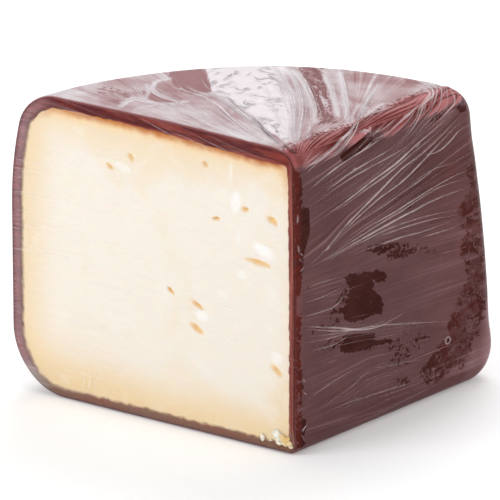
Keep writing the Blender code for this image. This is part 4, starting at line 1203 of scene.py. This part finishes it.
def cheese_material():
    """Pale curd inside, smoked yellow at its edge, and dark brown wax all round."""
    s = Shade("waxed_cheese")
    place = s.position()
    ragged = s.noise(place, 420.0, 3.0, 0.6)
    rind = s.number("rind")
    soft = s.number("soft")
    edge = s.times_plus(s.centred(ragged), 1.6, rind)
    inside = s.step(edge, s.times_plus(soft, -0.55, -0.15), s.times_plus(soft, 0.5, 0.3))
    curd = s.noise(place, 95.0, 3.0, 0.6, 0.6)
    patches = s.noise(place, 32.0, 2.0, 0.5)
    wisps = s.times_plus(s.centred(s.noise(place, 170.0, 3.0, 0.6)), 3.0, rind)
    depth_in = s.times_plus(s.centred(patches), 9.0, s.number("depth"))
    colour = s.blend(s.step(depth_in, -1.0, 17.0), PASTE_EDGE, PASTE)
    colour = s.blend(s.times(s.number("foot"), s.step(curd, 0.3, 0.7, 0.6, 1.0)), colour, PASTE_FOOT)
    tan = s.noise(place, 48.0, 3.0, 0.55, 0.5)
    colour = s.blend(s.step(tan, 0.52, 0.72, 0.0, 0.45), colour, PASTE_TAN)
    colour = s.blend(s.step(curd, 0.52, 0.72, 0.0, 0.22), colour, PASTE_PALE)
    colour = s.blend(s.times(s.number("pale"), s.step(ragged, 0.3, 0.5, 0.6, 1.0)), colour, PASTE_PALE)
    colour = s.blend(s.number("pit"), colour, PASTE_DEEP)
    smoked = s.number("smoked")
    halo = s.times(s.step(wisps, 4.6, 0.6), s.step(curd, 0.3, 0.7, 0.4, 1.0))
    colour = s.blend(s.times(halo, smoked), colour, SMOKED_HALO)
    colour = s.blend(s.times(s.step(wisps, 2.9, 0.0), smoked), colour, SMOKED_LINE)
    layers = s.noise(place, (60.0, 60.0, 420.0), 3.0, 0.6, 0.4)
    crust = s.blend(s.step(layers, 0.42, 0.58), RIND, RIND_DARK)
    upright = s.noise(place, (1300.0, 200.0, 45.0), 2.0, 0.5)
    crust = s.blend(s.number("rust"), crust, s.blend(s.step(upright, 0.40, 0.62), RIND_RUST, RIND_PLUM))
    # Painted highlight along the rim, and the line by the rust strip.
    crust = s.blend(s.times(s.number("lip"), s.step(curd, 0.3, 0.7, 0.4, 1.0)), crust, RIND_LIP_AND_HIGHLIGHT)
    crust = s.blend(s.times(s.number("inner_line"), s.step(ragged, 0.35, 0.6, 0.5, 1.0)), crust, RIND_DARK)
    crust = s.blend(s.times(s.number("brown"), s.step(layers, 0.35, 0.6, 0.6, 1.0)), crust, RIND_BROWN)
    wax = s.blend(s.number("crust"), wax_colour(s), crust)
    colour = s.blend(inside, wax, colour)
    speckle = s.noise(place, 800.0, 2.0, 0.5)
    height = s.plus(s.times(curd, 0.8), s.times(speckle, 0.25))
    s.shader.inputs["Subsurface Weight"].default_value = 0.2
    s.shader.inputs["Subsurface Radius"].default_value = (1.0, 0.55, 0.25)
    s.shader.inputs["Subsurface Scale"].default_value = 0.003
    s.shader.inputs["Specular IOR Level"].default_value = 0.04
    return s.finish(
        Base_Color=colour,
        Roughness=s.mix(inside, 0.38, s.step(curd, 0.3, 0.7, 0.42, 0.62)),
        Normal=s.bump(height, 0.0004, 0.35),
    )


def crumb_material():
    """Loose curd, white to orange."""
    s = Shade("curd_crumbs")
    place = s.position()
    grain = s.noise(place, 1400.0, 3.0, 0.6)
    tone = s.times(s.number("tone"), s.step(grain, 0.3, 0.7, 0.6, 1.0))
    colour = s.blend(tone, CRUMB_WHITE, CRUMB_ORANGE)
    s.shader.inputs["Subsurface Weight"].default_value = 0.2
    s.shader.inputs["Subsurface Scale"].default_value = 0.002
    return s.finish(Base_Color=colour, Roughness=0.5, Normal=s.bump(grain, 0.0003, 0.5))


# The pieces.


def make_cheese():
    """The cheese with its rind, openings and wax, just under the film."""
    core = np.array((CORE_ACROSS, CHEESE_INSET, CORE_UP))
    points, on_face, rim = shell(core, CHEESE_INSET, CHEESE_MERIDIANS, CHEESE_RINGS, CHEESE_CUT_RINGS)
    faces = shell_faces(points, CHEESE_MERIDIANS)
    face = points[on_face]
    across, _, up = face.T
    distance = rim_distance(face, rim)
    inner = distance - rind_width(face)
    back = PASTE_INSET * smooth_step(-0.5, 0.3, inner)
    pit, pale = np.zeros(len(face)), np.zeros(len(face))
    for opening in OPENINGS:
        reach = ellipse_reach(face, *opening)
        reach[reach < 2] += 0.35 * np.array([noise.noise(Vector(p) * 0.9) for p in face[reach < 2]])
        back += OPENING_DEPTH * (1.0 - smooth_step(0.25, 1.05, reach))
        pit = np.maximum(pit, 0.75 * (1.0 - smooth_step(0.5, 1.35, reach)))
    grain = np.array([noise.noise(Vector(p) * 0.16) + 0.5 * noise.noise(Vector(p) * 0.45) for p in face])
    back += PASTE_GRAIN * grain * smooth_step(0.0, 2.0, inner)
    points[on_face, 1] += back
    for *smear, amount in SMEARS:
        pale = np.maximum(pale, amount * (1.0 - smooth_step(0.55, 1.15, ellipse_reach(face, *smear))))

    foot = smooth_step(16.0, 2.0, up) * 0.75 + smooth_step(85.0, 115.0, across) * 0.15
    foot += 0.4 * smooth_step(34.0, 8.0, up) * smooth_step(60.0, 100.0, across) * smooth_step(2.0, 14.0, up)
    soft = np.maximum(smooth_step(100.0, 108.0, across), 0.7 * smooth_step(12.0, 5.0, up))
    soft *= smooth_step(94.0, 84.0, up)
    rust = smooth_step(4.5, 2.8, across) * smooth_step(3.0, 8.0, up) * smooth_step(99.0, 95.0, up)
    # A painted highlight along the rounded rim of the cut face by its top and side, and a real line of rind
    # colour at the rust strip's inner edge.
    by_outer_edge = np.maximum(smooth_step(60.0, 80.0, up), smooth_step(90.0, 105.0, across))
    lip = smooth_step(0.6, 0.25, distance) * by_outer_edge
    lip += 1.2 * smooth_step(0.9, 0.0, np.abs(inner + 0.1)) * rust
    by_apex = smooth_step(26.0, 8.0, across) * smooth_step(14.0, 30.0, up) * smooth_step(92.0, 80.0, up)

    def everywhere(values, elsewhere=0.0):
        """The cut face's values, with the value of all other points."""
        spread = np.full(len(points), elsewhere)
        spread[on_face] = values
        return spread

    piece = make_object("waxed_cheese", points, faces)
    add_layers(
        piece,
        rind=everywhere(inner, RIND_BEHIND),
        depth=everywhere(inner + 9.0 * by_apex, RIND_BEHIND),
        pit=everywhere(pit),
        pale=everywhere(pale),
        foot=everywhere(foot),
        smoked=everywhere(
            smooth_step(80.0, 92.0, up) * smooth_step(2.0, 9.0, across) * smooth_step(108.0, 90.0, across)
        ),
        soft=everywhere(soft),
        rust=everywhere(rust),
        crust=everywhere(1.0 - 0.3 * smooth_step(96.0, 110.0, across)),
        brown=everywhere(smooth_step(9.0, 4.0, up)),
        inner_line=everywhere(
            smooth_step(-1.6, -0.5, inner) * smooth_step(90.0, 104.0, across) * smooth_step(6.0, 12.0, up)
        ),
        lip=everywhere(np.clip(lip, 0.0, 1.0)),
    )
    piece.data.materials.append(cheese_material())
    return piece


def make_film(folds):
    """The film, folded and crumpled, drawn over the cheese."""
    core = np.array((CORE_ACROSS, 0.0, CORE_UP))
    skin, on_face, rim = shell(core, 0.0, FILM_MERIDIANS, FILM_RINGS, FILM_CUT_RINGS)
    points, weights = film_skin(skin, on_face, folds, rim)
    points[:, 2] = np.maximum(points[:, 2], 0.0)
    piece = make_object("cling_film", points, shell_faces(points, FILM_MERIDIANS))
    owner = np.argmax([weights[face] for face in FACES], axis=0)
    squareness = np.max([weights[face] for face in FACES], axis=0)
    shares = {face: np.clip(weights[face], 0.0, 1.0) ** 6 for face in FACES}
    shares["cut"] = np.where(on_face, shares["cut"], 0.02 * shares["cut"])
    _, along, up = skin.T

    def by_face(table):
        return sum(shares[face] * table[face] for face in FACES) / sum(shares.values())

    cling_field = np.maximum(patches_on(skin, CLING_PATCHES, weights), by_face(FILM_CLING_ELSEWHERE))
    cling_field[on_face] = 0.0
    haze = by_face(FILM_HAZE)
    face_across, _, face_up = skin[on_face].T
    rim_gap = along.copy()
    rim_gap[on_face] = rim_distance(skin[on_face], rim)
    over_rind = smooth_step(3.6, 2.6, rim_gap[on_face])
    by_side, by_base = RIM_HAZE
    by_side, by_base = by_side * smooth_step(95, 108, face_across), by_base * smooth_step(12, 5, face_up)
    haze[on_face] += over_rind * np.maximum(by_side, by_base)
    near_crumbs = np.clip(crumb_bulge(skin[on_face]) * 2.0, 0.0, 1.0)
    haze[on_face] *= 1.0 - near_crumbs
    clear = np.zeros(len(skin))
    clear[on_face] = np.maximum(1.0 - over_rind * smooth_step(4.0, 12.0, face_up), near_crumbs)
    for face, change, softness, outline in HAZE_PATCHES:
        haze += change * patches_on(skin, ((face, 1.0, softness, outline),), weights)
    tight = smooth_step(0.65, 0.15, rim_gap) * smooth_step(8.0, 30.0, up)
    haze *= 1.0 - 0.8 * tight
    cling = by_face(FILM_CLING) - 0.12 * patches_on(skin, (("top", 1.0, 1.2, DARK_TOP),), weights)
    flow, calm = flow_of(skin, owner)
    ridge = ridge_field(skin, weights)
    on_waxed = np.clip(weights["waxed"], 0.0, 1.0)
    apex_edge = np.where(on_face, 0.0, smooth_step(3.2, 0.6, along) * np.clip(weights["waxed"] * 2, 0, 1))
    mottled = smooth_step(60.0, 84.0, along) * smooth_step(98.0, 90.0, up) * on_waxed
    wet_top = [patch for patch in CLING_PATCHES if patch[0] == "top" and patch[1] >= 1]
    streak = by_face(FILM_STREAK) * smooth_step(0.72, 0.95, squareness) * (1 - 0.4 * ridge) * calm
    streak *= mix(1.0, read_off(up, STREAKS_BY_HEIGHT), on_waxed)
    streak *= 1.0 - 0.7 * patches_on(skin, wet_top, weights)
    streak[on_face] *= 1.0 + 0.6 * smooth_step(88.0, 108.0, face_across)
    white = patches_on(skin, WHITE_PATCHES, weights) * mix(0.2, 1.0, smooth_step(*WHITE_FADE, rim_share(skin)))
    add_layers(
        piece,
        flow=flow,
        haze=np.clip(haze, 0.02, 0.95),
        cling=np.clip(cling, 0.005, 1.0),
        topness=smooth_step(0.3, 0.9, weights["top"]),
        ridge=ridge,
        clear=clear,
        skin=1.0 - on_face,
        band=band_field(skin),
        column=smooth_step(82.0, 86.0, along) * smooth_step(38.0, 52.0, up) * on_waxed,
        mottled=np.maximum(mottled, np.clip(weights["side"] * 1.5 - 0.3, 0.0, 1.0)),
        warm=np.maximum(apex_edge, 0.35 * mottled),
        # Where the painted highlight lies along the rounded cut edge, off the waxed face.
        cut_edge=np.where(on_face, 0.0, tight * (1.0 - np.clip(weights["waxed"] * 3, 0.0, 1.0))),
        cling_field=cling_field,
        white=white,
        streak=streak,
    )
    piece.data.materials.append(film_material())
    return piece


def resampled(line, step):
    """A line's points again, evenly spaced by about the step."""
    lengths = np.concatenate([[0.0], np.cumsum(np.linalg.norm(np.diff(line, axis=0), axis=1))])
    count = max(int(lengths[-1] / step), 3)
    wanted = np.linspace(0.0, lengths[-1], count + 1)
    return np.column_stack([np.interp(wanted, lengths, line[:, axis]) for axis in range(3)])


def on_surface(line):
    """A line moved onto the skin, or onto the cut face where it lies before that, with outward directions."""
    line = line.copy()
    behind = np.column_stack([line[:, 0], np.full(len(line), 1.0), line[:, 2]])
    flat = (line[:, 1] < 2.5) & (depth_inside(behind) > 1.2)
    skin = settled(line)
    flat |= skin[:, 1] < 0.0
    settled_line = np.where(flat[:, None], line, skin)
    settled_line[flat, 1] = 0.0
    normals = np.where(flat[:, None], np.array((0.0, -1.0, 0.0)), outward(settled_line))
    return settled_line, normals


def pleat_paths():
    """Every pleat as (line, width, strength, start, end): it is kept from the start share to the end share."""
    random = np.random.default_rng(PLEAT_SEED)
    paths = []
    for guides, width, strength, *band in DRAWN_FOLDS:
        line = smooth_line(np.array(guides, float))
        if not band:
            paths.append((line, width, strength, 0.0, 1.0))
            continue
        skin, normals = on_surface(resampled(line, PLEAT_STEP))
        along = np.gradient(skin, axis=0)
        aside = np.cross(normals, along / np.linalg.norm(along, axis=1, keepdims=True).clip(1e-6))
        half = mix(band[0], band[1], np.linspace(0.0, 1.0, len(skin)))[:, None]
        for edge, share in ((-0.9, 1.0), (0.9, random.uniform(0.35, 0.75))):
            paths.append((skin + edge * aside * half, width, strength * share, 0.0, 1.0))
    for first, last, count, width, strength in PLEAT_FAMILIES:
        first, last = np.array(first, float), np.array(last, float)
        if len(first) != len(last):
            steps = np.linspace(0, 1, PLEAT_GUIDES)
            first, last = (
                np.column_stack([np.interp(steps, arc_shares(g), g[:, axis]) for axis in range(3)])
                for g in (smooth_line(first), smooth_line(last))
            )
        gaps = np.linalg.norm(last - first, axis=1, keepdims=True) / max(count - 1, 1)
        for share in np.linspace(0.0, 1.0, count):
            guides = mix(first, last, share) + np.minimum(0.18 * gaps, 0.45) * random.normal(size=first.shape)
            start, end = random.uniform(0.0, 0.3), random.uniform(0.7, 1.0)
            wide, strong = width * random.uniform(0.55, 1.15), strength * random.uniform(0.5, 1.3)
            paths.append((smooth_line(guides), wide, strong, start, end))
    # Short crinkles, painted bright as glints.
    for (start, end), width in CRINKLE_GLINTS:
        middle = (np.array(start) + np.array(end)) / 2 + random.normal(0, 0.2, 3)
        paths.append((smooth_line(np.array((start, middle, end))), width, random.uniform(0.5, 1.0), 0.0, 1.0))
    angles = np.linspace(0.0, 2 * math.pi, BUBBLE_POINTS)
    along, up, radius = BUBBLE
    sideways, upwards = radius * np.cos(angles), 0.85 * radius * np.sin(angles)
    paths.append((np.column_stack([0.0 * angles, along + sideways, up + upwards]), 0.7, 0.5, -0.3, 1.3))
    return paths


def make_pleats(folds):
    """Narrow tents of film along every pleat's line."""
    random = np.random.default_rng(PLEAT_SEED + 1)
    all_points, all_faces = [], []
    layers = {"strength": [], "clear": [], "topness": [], "dark": []}
    total = 0
    for line, width, strength, start, end in pleat_paths():
        line, normals = on_surface(resampled(line, PLEAT_STEP))
        place = np.linspace(0.0, 1.0, len(line))
        kept = (place >= start) & (place <= end)
        if kept.sum() < 4:
            continue
        line, normals, place = line[kept], normals[kept], place[kept]
        weights = face_weights(line, normals)
        lift = film_relief(line, folds, weights)
        flat = normals[:, 1] < -0.99
        lift[flat] = crumb_bulge(line[flat])
        lift = crumpled(line, lift, weights)
        share = np.clip((place - start) / (end - start), 0.0, 1.0)
        taper = np.sin(math.pi * share) ** 0.6 if start >= 0.0 else np.ones(len(line))
        wander = 1.0 + 0.25 * np.sin(np.cumsum(random.normal(0.0, 0.2, len(line))))
        wide = width * np.maximum(taper, LEAST_TAPER) * wander
        along = np.gradient(line, axis=0)
        along /= np.linalg.norm(along, axis=1, keepdims=True).clip(1e-6)
        aside = np.cross(normals, along) * wide[:, None] / 2
        raised = mix(PLEAT_LIFT, PLEAT_LIFT_TOP, smooth_step(0.4, 0.9, weights["top"]))
        raised = np.where(flat, PLEAT_LIFT_CUT, raised)
        foot = line + normals * (lift - PLEAT_SAG)[:, None]
        crest = line + normals * (lift + raised + PLEAT_HEIGHT * wide * np.where(flat, 0.3, 1.0))[:, None]
        rows = np.stack([foot - aside, crest, foot + aside], axis=1)
        rows[..., 2] = np.maximum(rows[..., 2], 0.0)
        here = total + 3 * np.arange(len(line) - 1)[:, None]
        quads = np.concatenate([here + (0, 1, 4, 3), here + (1, 2, 5, 4)])
        # Brighter knots along each pleat: painted glints.
        flicker = 0.8 + 0.2 * np.sin(np.cumsum(random.normal(0.0, 0.25, len(line))))
        power = abs(strength) * np.where(normals[:, 0] < -0.8, 0.85, 1.0) * taper * flicker
        inner = np.minimum(HEIGHT - line[:, 2], np.minimum(line[:, 0], line[:, 2]))
        over_paste = flat * smooth_step(3.5, 6.0, inner)
        power *= 1.0 - 0.5 * over_paste
        all_points.append(rows.reshape(-1, 3))
        all_faces += quads.tolist()
        power = np.stack([power * 0.3, power, power * 0.3], axis=1).ravel()
        layers["strength"].append(np.clip(power, 0.0, 1.0))
        layers["clear"].append(np.repeat(over_paste, 3))
        layers["topness"].append(np.repeat(smooth_step(0.3, 0.9, weights["top"]), 3))
        # Which pleats are dark creases, painted with shade.
        layers["dark"].append(np.full(3 * len(line), float(strength < 0)))
        total += 3 * len(line)
    piece = make_object("film_pleats", np.vstack(all_points), all_faces)
    add_layers(piece, **{name: np.concatenate(values) for name, values in layers.items()})
    piece.data.materials.append(pleat_material())
    return piece


def make_crumbs():
    """Crumbs of curd pressed between the cut face and the film."""
    random = np.random.default_rng(CRUMB_SEED)
    work = bmesh.new()
    tones = []
    for across, up, wide, tall, tone in CRUMBS:
        made = bmesh.ops.create_icosphere(work, subdivisions=3, radius=1.0)
        shift = Vector(random.uniform(-50, 50, 3))
        for vertex in made["verts"]:
            co = vertex.co
            co *= 1.0 + 0.6 * noise.noise(co * 1.7 + shift) + 0.45 * noise.noise(co * 4.3 + shift)
            x = APEX_X - across + co.x * wide
            y = APEX_Y + CHEESE_INSET + co.y * CRUMB_THICKNESS - 0.15
            vertex.co = Vector((x, y, max(up + co.z * tall, CRUMB_FOOT))) * MM
            tones.append(tone)
    mesh = bpy.data.meshes.new("curd_crumbs")
    work.to_mesh(mesh)
    work.free()
    mesh.shade_smooth()
    piece = bpy.data.objects.new("curd_crumbs", mesh)
    bpy.context.scene.collection.objects.link(piece)
    add_layers(piece, tone=np.array(tones))
    piece.data.materials.append(crumb_material())
    return piece


def make_floor():
    """A plain pale floor."""
    bpy.ops.mesh.primitive_plane_add(size=FLOOR_SIZE, location=(0.0, 0.0, -FLOOR_DROP))
    floor = bpy.context.object
    floor.name = "floor"
    s = Shade("floor")
    s.shader.inputs["Emission Strength"].default_value = FLOOR_GLOW
    s.shader.inputs["Emission Color"].default_value = WHITE
    floor.data.materials.append(s.finish(Base_Color=(0.95, 0.95, 0.95), Roughness=0.9))


def add_softbox(name, place, size, power):
    """A rectangular soft light that looks at the cheese."""
    light = bpy.data.lights.new(name, "AREA")
    light.shape = "RECTANGLE"
    light.size, light.size_y = size
    light.energy = power
    lamp = bpy.data.objects.new(name, light)
    bpy.context.scene.collection.objects.link(lamp)
    lamp.location = place
    direction = Vector(LIGHTS_AIM) - lamp.location
    lamp.rotation_euler = direction.to_track_quat("-Z", "Y").to_euler()


def make_lights():
    """Soft studio light: white all round, and boxes in front of the cut face, behind and on the right."""
    world = bpy.data.worlds.new("studio")
    bpy.context.scene.world = world
    world.use_nodes = True
    background = world.node_tree.nodes["Background"]
    background.inputs["Color"].default_value = WHITE
    background.inputs["Strength"].default_value = WORLD_STRENGTH
    for name, box in SOFTBOXES.items():
        add_softbox(name, *box)


def make_camera():
    """A long lens from the photo's side, moved a little sideways so that the cheese lies where it does."""
    azimuth, elevation = math.radians(AZIMUTH), math.radians(ELEVATION)
    level = math.cos(elevation)
    back = Vector((math.sin(azimuth) * level, -math.cos(azimuth) * level, math.sin(elevation)))
    right = Vector((math.cos(azimuth), math.sin(azimuth), 0.0))
    up = back.cross(right)
    target = Vector(TARGET) + Vector((APEX_X, APEX_Y, 0.0))
    scale = DISTANCE / FOCAL_PIXELS
    place = target + back * DISTANCE - right * AIM_RIGHT * scale - up * AIM_UP * scale
    data = bpy.data.cameras.new("camera")
    data.sensor_width = SENSOR
    data.lens = SENSOR * FOCAL_PIXELS / FRAME_PIXELS
    data.clip_end = CLIP_END
    camera = bpy.data.objects.new("camera", data)
    bpy.context.scene.collection.objects.link(camera)
    camera.matrix_world = Matrix.Translation(place * MM) @ Matrix((right, up, back)).transposed().to_4x4()
    bpy.context.scene.camera = camera


make_camera()
make_floor()
make_lights()
bpy.context.scene.view_settings.view_transform = "Standard"

folds = fold_lines()
cheese = make_cheese()
film = make_film(folds)
pleats = make_pleats(folds)
crumbs = make_crumbs()
for piece in (cheese, film, pleats, crumbs):
    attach(piece, "root")
for piece in (cheese, film):
    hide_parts("wrapped_cheese")
